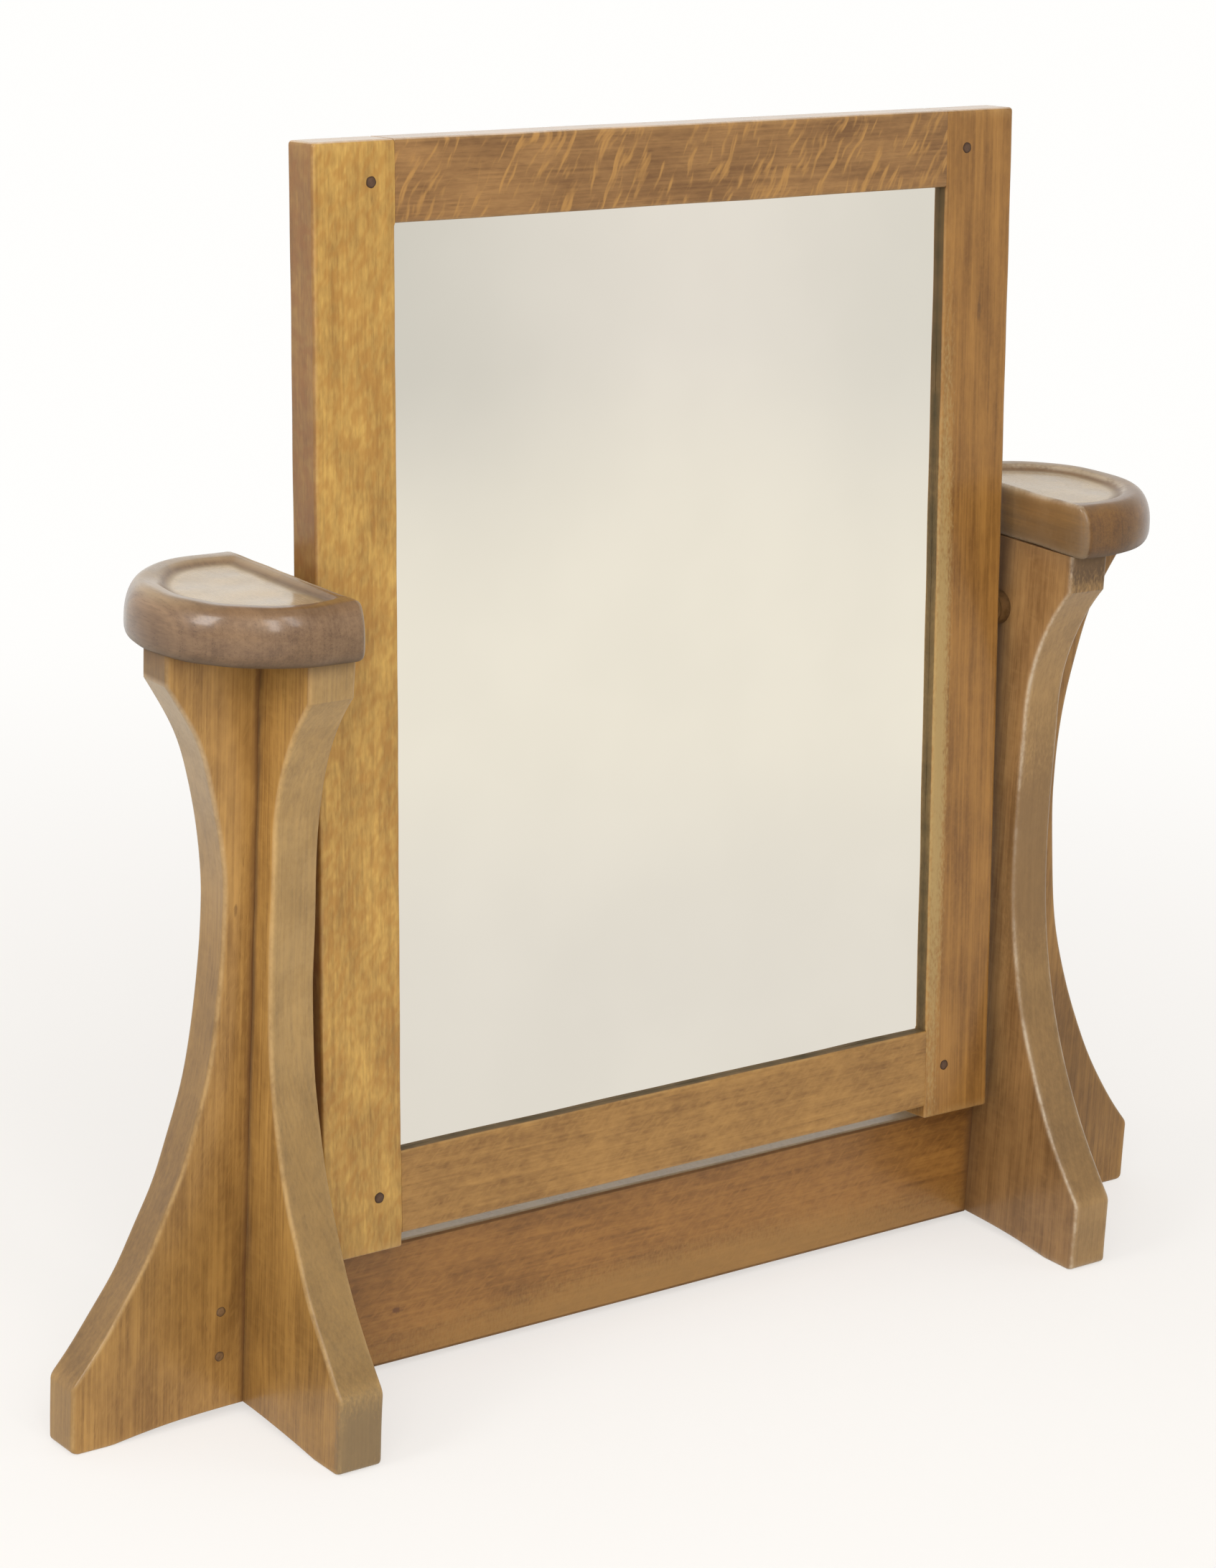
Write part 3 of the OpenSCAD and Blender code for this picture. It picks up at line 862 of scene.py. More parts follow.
@dataclass(frozen=True)
class OakFinish:
    """Waxed oak for one piece or a few like ones: tones, figure, wear and polish.

    The ray tone is a multiple of the wood's own tone. Lengths and places are in millimetres,
    angles in degrees.
    """

    name: str
    grain: Grain
    tone: Tone
    swing: float = 0.32
    ray: Tone = (1.35, 1.45, 1.5)
    worn: Tone = (0.56, 0.36, 0.145)
    rim_tone: Tone = (0.24, 0.155, 0.075)
    rim_share: float = 0.9
    # Tones of the dirt and painted shade in nooks, and of the painted sheen
    dirt: Tone = (0.13, 0.055, 0.016)
    pale_tone: Tone = (0.5, 0.42, 0.33)
    pith: Triple = (-140.0, 30.0, 0.0)
    band: float = 2.6
    band_depth: float = 0.5
    line_depth: float = 0.8
    streak_depth: float = 0.7
    mottle_depth: float = 0.9
    curl_depth: float = 0.3
    curl_size: Triple = (4.0, 4.0, 9.0)
    pore_depth: float = 0.6
    pore_dull: float = 0.18
    pore_sunk: float = 0.7
    fleck_amount: float = 0.2
    fleck_size: Triple = (1.8, 12.0, 9.0)
    fleck_bend: float = 2.0
    fleck_soft: float = 0.11
    fleck_rarity: float = 0.76
    fleck_raised: float = 0.25
    slant: float = 25.0
    wander: float = 26.0
    wear: float = 0.5
    roughness: float = 0.40
    specular: float = 0.35
    coat: float = 0.3
    coat_roughness: float = 0.17
    relief: float = 0.05
    tool_height: float = 0.22
    tool_scale: float = 0.045
    lean: float = 0.0
    marks: tuple[Mark, ...] = ()

    def toned(self, share: float) -> Tone:
        """The finish's tone made darker and redder, or lighter and yellower."""
        red, green, blue = self.tone
        return (red * (1 + share), green * (1 + 1.15 * share), blue * (1 + 1.25 * share))

    def inputs(self, names: Sequence[str]) -> dict[str, object]:
        """The values of some fields, by the names of the group inputs that take them."""
        return {name.title(): getattr(self, name) for name in names}

    def material(self) -> bpy.types.Material:
        """Makes the material from the shared groups, in Object coordinates.

        Returns:
            The material.
        """
        made, w, shader = new_material(self.name)
        seen = w.node("TexCoord").outputs["Object"]
        level = w.fill(w.node("Mapping"), Vector=seen, Scale=(1 / MM,) * 3).outputs[0]
        tilt = (self.lean + self.grain.value[0], *self.grain.value[1:])
        turn = tuple(math.radians(a) for a in tilt)
        place = w.fill(w.node("Mapping"), Vector=level, Rotation=turn).outputs[0]
        figure = w.group(
            GROUPS["figure"], Vector=place, Slant=math.radians(self.slant),
            Pale=self.toned(self.swing), Dark=self.toned(-self.swing),
            Ray=tuple(min(1.0, own * share) for own, share in zip(self.tone, self.ray)),
            **self.inputs(FIGURE_INPUTS),
        )
        masks = {mask.capitalize(): w.mask(mask) for mask in MASKS}
        handled = w.group(
            GROUPS["handling"], Vector=level, Color=figure["Color"], **masks,
            **self.inputs(HANDLING_INPUTS),
        )
        color, clean, sunk = handled["Color"], handled["Clean"], figure["Pores"]
        for mark in self.marks:
            spot = w.group(
                GROUPS["blemish"], Vector=level, Color=color, Centre=mark.centre,
                Reach=mark.reach, Tone=mark.tone, Strength=w.times(clean, mark.strength),
            )
            color = spot["Color"]
            sunk = w.plus(sunk, w.times(spot["Mask"], mark.sunk))
        rough = w.plus(handled["Dull"], self.roughness)
        w.fill(
            shader, Base_Color=color, Coat_Weight=w.times(clean, self.coat),
            Roughness=w.plus(rough, w.times(sunk, self.pore_dull), clamp=True),
            Specular_IOR_Level=self.specular, Coat_Roughness=self.coat_roughness,
        )
        tool_scales = (self.tool_scale, self.tool_scale, self.tool_scale * 0.6)
        height = w.times(w.noise(place, 1.0, tool_scales), self.tool_height / self.relief)
        height = w.minus(height, w.times(sunk, self.pore_sunk))
        height = w.plus(height, w.times(figure["Flecks"], self.fleck_raised))
        w.bump(shader, height, self.relief, 1.0)
        return made


@dataclass(frozen=True)
class MetalFinish:
    """Turned brass or steel, dulled by handling."""

    name: str
    bright: Tone
    dull: Tone
    roughness: float
    cloud_scale: Triple = (180.0, 180.0, 180.0)
    line_scale: Triple = (6000.0, 400.0, 400.0)

    def material(self) -> bpy.types.Material:
        """Makes the material: cloudy tarnish over fine turning lines.

        Returns:
            The material.
        """
        made, w, shader = new_material(self.name)
        seen = w.node("TexCoord").outputs["Object"]
        cloud = w.noise(seen, 4.0, self.cloud_scale)
        w.fill(
            shader, Base_Color=w.mix(w.step(cloud, 0.35, 0.65), self.bright, self.dull),
            Roughness=w.plus(w.times(cloud, 0.2), self.roughness), Metallic=1.0,
        )
        w.bump(shader, w.noise(seen, 1.0, self.line_scale), relief=0.02, strength=0.4)
        return made


@dataclass(frozen=True)
class SilverFinish:
    """Old silvered plate glass, faintly warm, clouded and hazed in patches."""

    name: str = "silvered plate"
    clear: Tone = (0.907, 0.907, 0.90)
    clouded: Tone = (0.877, 0.877, 0.87)
    haze: float = 0.02
    cloud_scale: Triple = (9.0, 9.0, 9.0)
    haze_scale: Triple = (70.0, 70.0, 70.0)

    def material(self) -> bpy.types.Material:
        """Makes the material.

        Returns:
            The material.
        """
        made, w, shader = new_material(self.name)
        seen = w.node("TexCoord").outputs["Object"]
        cloud = w.step(w.noise(seen, 3.0, self.cloud_scale), 0.3, 0.7)
        haze = w.times(w.step(w.noise(seen, 4.0, self.haze_scale), 0.45, 0.85), self.haze)
        w.fill(shader, Base_Color=w.mix(cloud, self.clear, self.clouded), Roughness=haze, Metallic=1.0)
        return made


# Joinery


def dress(piece: bpy.types.Object, body: Body, material: bpy.types.Material, *nodes: str) -> None:
    """Finishes a new piece and lets it stand for CAD nodes.

    Args:
        piece: The piece.
        body: The body that it moves with.
        material: Its material.
        nodes: The nodes that it replaces.
    """
    piece.data.materials.append(material)
    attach(piece, body.value)
    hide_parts(*nodes)
    LOG.info("%s: %d vertices, stands for %s", piece.name, len(piece.data.vertices), ", ".join(nodes))


def repaint(node: str, material: bpy.types.Material) -> None:
    """Gives a CAD node a new material.

    Args:
        node: Its name.
        material: The material.
    """
    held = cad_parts[node].data.materials
    held.clear()
    held.append(material)
    LOG.info("%s: repainted", node)


@dataclass
class MirrorFrame:
    """The tilting frame: stiles, rails, pegs, plate, back board and beads.

    Its pieces are drawn upright, with Y from the front face and Z from the stiles' lower ends.
    """

    width: float = 500.0
    height: float = 623.0
    thick: float = 24.0
    stile: float = 52.5
    top_rail: float = 45.0
    bottom_rail: float = 49.0
    horn: float = 8.0
    lip: float = 5.5
    rebate: float = 8.0
    glass: float = 4.0
    back: float = 6.0
    glass_play: float = 0.8
    bead: float = 12.0
    bead_play: float = 0.05
    peg_radius: float = 3.2
    peg_in: float = 15.5
    peg_proud: float = 0.5
    pivot_height: float = 404.0
    pivot_up: float = 317.0
    arris: float = 1.5
    joint_arris: float = 0.35
    outer_arris: float = 2.4
    joint_fade: float = 1.5
    edge_skin: float = 0.6
    uneven: Unevenness = Unevenness(height=0.22, seed=5)

    @property
    def half_opening(self) -> float:
        """Half the width between the stiles."""
        return self.width / 2 - self.stile

    @property
    def open_low(self) -> float:
        """Height of the opening's lower edge."""
        return self.horn + self.bottom_rail

    @property
    def open_high(self) -> float:
        """Height of the opening's upper edge."""
        return self.height - self.top_rail

    def stand_up(self, points: Array) -> Array:
        """Leans frame points back about the pivot line.

        y' = y cos(lean) + z sin(lean) and z' = z cos(lean) - y sin(lean), from the pivot.

        Args:
            points: Points of an upright piece.

        Returns:
            The points in place.
        """
        a = math.radians(LEAN)
        y = points[..., Y] - self.thick / 2
        z = points[..., Z] - self.pivot_up
        return np.stack([
            points[..., X], y * math.cos(a) + z * math.sin(a),
            z * math.cos(a) - y * math.sin(a) + self.pivot_height,
        ], -1)

    def finished(self, skin: Skin) -> Skin:
        """Adds the frame's unevenness and leans it back."""
        return skin.placed(self.uneven).placed(self.stand_up)

    def free_of_joints(self, z: Array) -> Array:
        """Where a stile's inner arris is free: along the opening and on the horn, fading out.

        Args:
            z: Heights.

        Returns:
            1 where it is free, 0 along the joints.
        """
        fade = self.joint_fade
        free = ramp(z, self.open_low, self.open_low + fade)
        free = free * ramp(z, self.open_high, self.open_high - fade)
        return np.maximum(free, ramp(z, self.horn, self.horn - fade))

    def stile_skin(self) -> Skin:
        """The right stile: a section with a rebate that stops behind the rails.

        Its inner arris is nearly sharp along the joints and rounded beside the opening.

        Returns:
            The skin, upright.
        """
        low, high = self.open_low - self.rebate, self.open_high + self.rebate
        around = (-2.0, -0.6, 0.2, 1.5)
        extra = [z + d for z in (low, high) for d in (-0.02, 0.02)]
        extra += [self.open_low + d for d in around] + [self.open_high - d for d in around]
        along = stations((0, self.height), (self.arris, self.outer_arris), 5.0, extra)
        z, inset = along.place, along.inset
        cut = ((z > low) & (z < high)).astype(float)
        x0, x1 = self.half_opening, self.width / 2
        rear = self.thick - inset
        path = [
            (x0 + inset, inset), (x1 - inset, inset), (x1 - inset, rear), (x0 + self.rebate, rear),
            (x0 + inset * (1 - cut) + cut * self.rebate, rear + cut * (self.lip - self.thick)),
            (x0 + inset, self.lip),
        ]
        free = self.free_of_joints(z)
        inner = self.joint_arris + (self.arris - self.joint_arris) * free
        even = np.ones_like(z)
        radii = np.stack([inner, self.outer_arris * even, self.arris * even, *[even] * 3], -1)
        work = [Corner(0.8), Corner(1.0), Corner(0.7), SHARP, SHARP, SHARP]
        ring, wear = worked_section(corner_points(path, len(z)), radii, inset, work, 12)
        skin = swept(ring, wear, along, (X, Y, Z))
        inner_arc = work[0].steps + 1
        skin.masks["arris"][:, :inner_arc] *= (0.15 + 0.85 * free)[:, None]
        # Dirt and painted shade on the lip's wall
        skin.masks["nook"] = self.lip_shade(skin.points, x0, X)
        skin.masks["rim"] = (skin.points[..., X] > x1 - self.edge_skin).astype(float)
        # Painted sheen on the top end
        skin.masks["pale"] = (skin.points[..., Z] > self.height - self.edge_skin).astype(float)
        return skin

    def lip_shade(self, points: Array, edge: float, axis: int) -> Array:
        """Marks the wall of the lip with dirt and painted shade, more and more towards the plate.

        Args:
            points: Points of a stile or rail, upright.
            edge: Where the wall is.
            axis: Axis that the wall is square to.

        Returns:
            The mask.
        """
        y, z = points[..., Y], points[..., Z]
        wall = (np.abs(points[..., axis] - edge) < 0.05) & (y > 1.2)
        inside = (z > self.open_low - 0.1) & (z < self.open_high + 0.1)
        return (0.75 + 0.25 * np.clip(y / self.lip, 0, 1)) * (wall & inside)

    def rail_skin(self, top: bool) -> Skin:
        """A rail between the stiles, with its rebate towards the opening.

        Args:
            top: True for the top rail.

        Returns:
            The skin, upright.
        """
        low, high = (self.open_high, self.height) if top else (self.horn, self.open_low)
        along = stations((-self.half_opening, self.half_opening), (0.2, 0.2), 5.0, worn=(0.0, 0.0))
        front, rear = along.inset, self.thick - along.inset
        under, over = low + along.inset, high - along.inset
        if top:
            step = low + self.rebate
            path = [(front, under), (self.lip, under), (self.lip, step),
                    (rear, step), (rear, over), (front, over)]
            radii = (self.arris, 0, 0, 0, self.arris, self.outer_arris)
        else:
            step = high - self.rebate
            path = [(front, under), (rear, under), (rear, step),
                    (self.lip, step), (self.lip, over), (front, over)]
            radii = (self.arris, self.arris, 0, 0, 0, self.arris)
        work = [Corner(0.9) if radius else SHARP for radius in radii]
        corners = corner_points(path, len(front))
        ring, wear = worked_section(corners, radii, along.inset, work, 10)
        skin = swept(ring, wear, along, (Y, Z, X))
        # Dirt and painted shade on the lip's wall, and painted sheen on the top rail's top face
        skin.masks["nook"] = self.lip_shade(skin.points, low if top else high, Z)
        skin.masks["pale"] = (skin.points[..., Z] > self.height - self.edge_skin).astype(float)
        return skin

    def peg_skins(self) -> list[Skin]:
        """The four pegs, front to back through the joints.

        Returns:
            Their skins, upright.
        """
        x = self.half_opening + self.peg_in
        heights = (self.horn + self.bottom_rail / 2, self.height - self.top_rail / 2)
        span = (-self.peg_proud, self.thick)
        return [
            peg_skin((side.value * x, z), span, self.peg_radius, 1.7 * k + side.value)
            for k, z in enumerate(heights) for side in Side
        ]

    def bead_skins(self) -> dict[str, Skin]:
        """The four beads that hold the back board, by node name.

        Returns:
            Their skins, upright.
        """
        front = self.lip + self.glass + self.back
        outer = self.half_opening + self.rebate - self.bead_play
        inner = outer - self.bead
        reach = inner - self.bead_play
        low = self.open_low - self.rebate + self.bead_play
        high = self.open_high + self.rebate - self.bead_play
        side = plain_bar((inner, front, low), (outer, self.thick, high), Z, 1.0, worn=0.5)
        bars = {"right_bead": side, "left_bead": side.on(Side.LEFT)}
        for name, z in (("bottom_bead", low), ("top_bead", high - self.bead)):
            end = (reach, self.thick, z + self.bead)
            bars[name] = plain_bar((-reach, front, z), end, X, 1.0, worn=0.5)
        return bars

    def board_skin(self) -> Skin:
        """The back board behind the plate.

        Returns:
            Its skin, upright.
        """
        reach = self.half_opening + self.rebate - self.glass_play
        front = self.lip + self.glass
        low = (-reach, front, self.open_low - self.rebate + self.glass_play)
        high = (reach, front + self.back, self.open_high + self.rebate - self.glass_play)
        return plain_bar(low, high, Z, 0.4, worn=0.2, step=20.0, steps=24)

    def build(self, finishes: dict[str, OakFinish], silver: SilverFinish) -> None:
        """Builds and dresses every piece of the frame.

        Args:
            finishes: Oak finishes by piece.
            silver: Finish of the plate.
        """
        stile = self.stile_skin()
        skins = {
            "left_stile": stile.on(Side.LEFT), "right_stile": stile,
            "top_rail": self.rail_skin(True), "bottom_rail": self.rail_skin(False),
        }
        for node, skin in skins.items():
            piece = mesh_piece(node + "_oak", [self.finished(skin)])
            dress(piece, Body.MIRROR, finishes[node].material(), node)
        pegs = mesh_piece("frame_pegs_oak", [self.finished(skin) for skin in self.peg_skins()])
        dress(pegs, Body.MIRROR, finishes["frame_pegs"].material(), "frame_pegs")
        hidden = finishes["bead"].material()
        for node, skin in self.bead_skins().items():
            bead = mesh_piece(node + "_oak", [skin.placed(self.stand_up)])
            dress(bead, Body.MIRROR, hidden, node)
        board = mesh_piece("back_board_oak", [self.board_skin().placed(self.stand_up)])
        dress(board, Body.MIRROR, finishes["back_board"].material(), "back_board")
        repaint("mirror_plate", silver.material())


@dataclass
class Upright:
    """One T-shaped upright: a waisted board with a waisted wing on its outer face."""

    side: Side
    inner: float = 260.0
    thick: float = 29.0
    top: float = 448.0
    block: float = 61.5
    waist: float = 31.0
    foot: float = 111.0
    block_low: float = 426.0
    waist_high: float = 340.0
    waist_low: float = 260.0
    toe: float = 44.0
    wing_thick: float = 26.0
    wing_block: float = 58.5
    wing_waist: float = 19.0
    wing_foot: float = 110.0
    wing_block_low: float = 431.0
    wing_waist_high: float = 300.0
    wing_waist_low: float = 285.0
    wing_toe: float = 40.0
    hollow: float = 6.0
    hollow_fade: float = 28.0
    pad: float = 26.0
    toe_round: float = 4.0
    peg_radius: float = 3.2
    peg_out: float = 16.0
    peg_heights: Pair = (38.0, 65.0)
    peg_proud: Pair = (0.35, 0.3)
    arris: float = 2.6
    joint_arris: float = 0.2
    soft: float = 2.4
    ends: Pair = (2.0, 0.3)
    end_wear: Pair = (0.6, 0.0)
    step: float = 4.5
    sharp: float = 28.0
    stretcher_thick: float = 23.0
    stretcher_over: float = 84.0

    @property
    def outer(self) -> float:
        """Distance of the board's outer face from the middle of the stand."""
        return self.inner + self.thick

    @staticmethod
    def flare(z: Array, inner: float, outer: float, start: float, end: float) -> Array:
        """Concave edge: an arc tangent to the waist line.

        inner + r - sqrt(r^2 - d^2), with d the height from the waist and r chosen so that the
        arc reaches outer at the far end.

        Args:
            z: Heights.
            inner: Half width at the waist.
            outer: Half width at the far end.
            start: Height where the arc leaves the waist.
            end: Height of the far end.

        Returns:
            Half widths.
        """
        run, rise = abs(end - start), outer - inner
        r = (rise * rise + run * run) / (2 * rise)
        d = np.clip((z - start) * np.sign(end - start), 0, run)
        return inner + r - np.sqrt(r * r - d * d)

    def outline(self, z: Array, sizes: Sequence[float]) -> Array:
        """Half width of a waisted board, with its corners softened by averaging.

        The lowest corners are rounded by c: c - sqrt(c^2 - (c - z)^2) comes off below c.

        Args:
            z: Heights.
            sizes: Waist, block and foot half widths, then the heights of toe, lower and upper
                end of the waist and the block's lower edge.

        Returns:
            Half widths.
        """
        waist, block, foot, toe, low, high, block_low = sizes
        total = np.zeros_like(z)
        offsets = np.linspace(-self.soft, self.soft, 9)
        for offset in offsets:
            h = z + offset * np.where(z > high, 0.05, 1.0)
            lower = np.where(h < toe, foot, self.flare(h, waist, foot, low, toe))
            upper = np.where(h > block_low, block, self.flare(h, waist, block, high, block_low))
            total += np.where(h < (low + high) / 2, lower, upper)
        low_corner = np.clip(self.toe_round - z, 0, self.toe_round)
        cut = self.toe_round - np.sqrt(self.toe_round ** 2 - low_corner ** 2)
        return total / len(offsets) - cut

    def lifted(self, points: Array, across: Array, reach: float) -> Array:
        """Raises the underside into its shallow hollow.

        The hollow is an arc of its full height at the middle that meets the pads, and it fades
        with (1 - z / hollow_fade)^2 up the board.

        Args:
            points: Points of a board.
            across: Distance of each point from the board's middle.
            reach: Half width of the foot.

        Returns:
            The raised points.
        """
        run = reach - self.pad
        r = (self.hollow ** 2 + run ** 2) / (2 * self.hollow)
        arc = np.sqrt(np.maximum(r * r - across * across, 0)) - (r - self.hollow)
        raised = points.copy()
        raised[..., Z] += np.maximum(arc, 0) * ramp(points[..., Z], self.hollow_fade, 0.0) ** 2
        return raised

    def along(self, *breaks: float) -> Stations:
        """Stations up a board, closer together at the heights where its outline turns.

        Args:
            breaks: Those heights.

        Returns:
            The stations.
        """
        around = [b + self.soft * share / 3 for b in breaks for share in range(-3, 4)]
        around += [self.toe_round * share for share in (0.6, 0.8, 1.0)]
        return stations((0, self.top), self.ends, self.step, around, self.end_wear)

    def board_skin(self) -> Skin:
        """The front-to-back board.

        Its masks darken the edges and faces near the foot, and paint shade into the corner beside
        the wing, round the stretcher, down the inner face beside the frame and under the tray.

        Returns:
            Its skin, on the right.
        """
        sizes = (self.waist, self.block, self.foot, self.toe,
                 self.waist_low, self.waist_high, self.block_low)
        along = self.along(self.toe, self.block_low)
        reach = self.outline(along.place, sizes) - along.inset
        low = np.stack([self.inner + along.inset, -reach], -1)
        high = np.stack([self.outer - along.inset, reach], -1)
        corners = box_corners(low, high)
        ring, wear = worked_section(corners, [self.arris] * 4, along.inset, [Corner()] * 4, 30)
        skin = swept(ring, wear, along, (X, Y, Z))
        x, y, z = (skin.points[..., k] for k in (X, Y, Z))
        edge = ramp(np.abs(y) - reach[:, None], -self.arris, 0)
        over_toe = ramp(z, self.toe, self.toe + 8) * ramp(z, 260, 140)
        # Painted shade, with some dirt, in the corner beside the wing and round the stretcher
        beside = bell(np.abs(y) - self.wing_thick / 2, 2.6) * (x > self.outer - 0.2)
        indoors = x < self.inner + 0.2
        post = bell(np.abs(y) - self.stretcher_thick / 2, 4.0) * indoors * (z < self.stretcher_over)
        # Painted shade down the inner face beside the frame, above the stretcher
        post += 1.9 * bell(y, 7.0) * indoors * (z > self.stretcher_over)
        # Painted shadow under the tray
        under = bell(self.top - z, 7.0)
        skin.masks["rim"] = edge
        # Darker over the toe and on the faces near the foot
        skin.masks["grime"] = 0.75 * edge * over_toe + 0.6 * (1 - edge) * ramp(z, 200, 70)
        skin.masks["nook"] = np.clip(0.85 * beside + 0.5 * post + 0.4 * under, 0, 1)
        return Skin(self.lifted(skin.points, y, self.foot), skin.masks)

    def wing_skin(self) -> Skin:
        """The wing on the outer face, a little fuller at its waist and leaner under its block.

        Its masks darken the toe, the block's edge and the lower faces, paint shade into the corner
        beside the board and under the tray, and paint a sheen along the upper edge.

        Returns:
            Its skin, on the right.
        """
        sizes = (self.wing_waist, self.wing_block, self.wing_foot, self.wing_toe,
                 self.wing_waist_low, self.wing_waist_high, self.wing_block_low)
        along = self.along(self.wing_toe, self.wing_block_low)
        z = along.place
        belly = 1.2 * bell(z - 248, 34) - 2.4 * bell(z - 399, 24)
        reach = self.outline(z, sizes) + belly - along.inset
        half = self.wing_thick / 2 - along.inset
        low = np.stack([np.full_like(reach, self.outer), -half], -1)
        high = np.stack([self.outer + reach, half], -1)
        radii = [self.joint_arris, self.arris, self.arris, self.joint_arris]
        work = [Corner(0.0, 2), Corner(), Corner(), Corner(0.0, 2)]
        ring, wear = worked_section(box_corners(low, high), radii, along.inset, work, 26)
        skin = swept(ring, wear, along, (X, Y, Z))
        out, z = skin.points[..., X] - self.outer, skin.points[..., Z]
        edge = ramp(out - reach[:, None], -self.arris, 0)
        block = ramp(z, self.wing_block_low, self.wing_block_low + 3)
        over_toe = ramp(z, self.wing_toe, self.wing_toe + 8) * ramp(z, 300, 140)
        # Darker at the toe's edge, the block's edge and the lower faces
        faces = 0.75 * (1 - edge) * bell(z - 100, 60)
        skin.masks["rim"] = edge
        skin.masks["grime"] = edge * (0.7 * over_toe + 0.9 * block) + faces
        # Painted shade in the corner beside the board and under the tray
        skin.masks["nook"] = np.clip(0.85 * bell(out, 2.6) + 0.4 * bell(self.top - z, 7.0), 0, 1)
        # Painted sheen on the upper part of the outer edge
        skin.masks["pale"] = 0.8 * edge * ramp(z, 280, 400) * (1 - block)
        return Skin(self.lifted(skin.points, out, self.wing_foot), skin.masks)

    def peg_skins(self) -> list[Skin]:
        """The pegs through the wing and the stretcher's tenon.

        Returns:
            Their skins, on the right.
        """
        x, half = self.outer + self.peg_out, self.wing_thick / 2
        span = (-half - self.peg_proud[0], half + self.peg_proud[1])
        return [peg_skin((x, z), span, self.peg_radius, z) for z in self.peg_heights]

    def build(self, board: OakFinish, wing: OakFinish, pegs: OakFinish) -> None:
        """Builds and dresses the board, its wing and the wing's pegs.

        Args:
            board: Finish of the board.
            wing: Finish of the wing.
            pegs: Finish of the pegs.
        """
        uneven = Unevenness(height=0.45, seed=21 + self.side.value, still_floor=True)
        plan = (
            ("upright", [self.board_skin()], board, self.sharp),
            ("wing", [self.wing_skin()], wing, self.sharp),
            ("wing_pegs", self.peg_skins(), pegs, 40.0),
        )
        for part, skins, finish, sharp in plan:
            node = self.side.named(part)
            placed = [skin.on(self.side).placed(uneven) for skin in skins]
            dress(mesh_piece(node + "_oak", placed, sharp), Body.STAND, finish.material(), node)


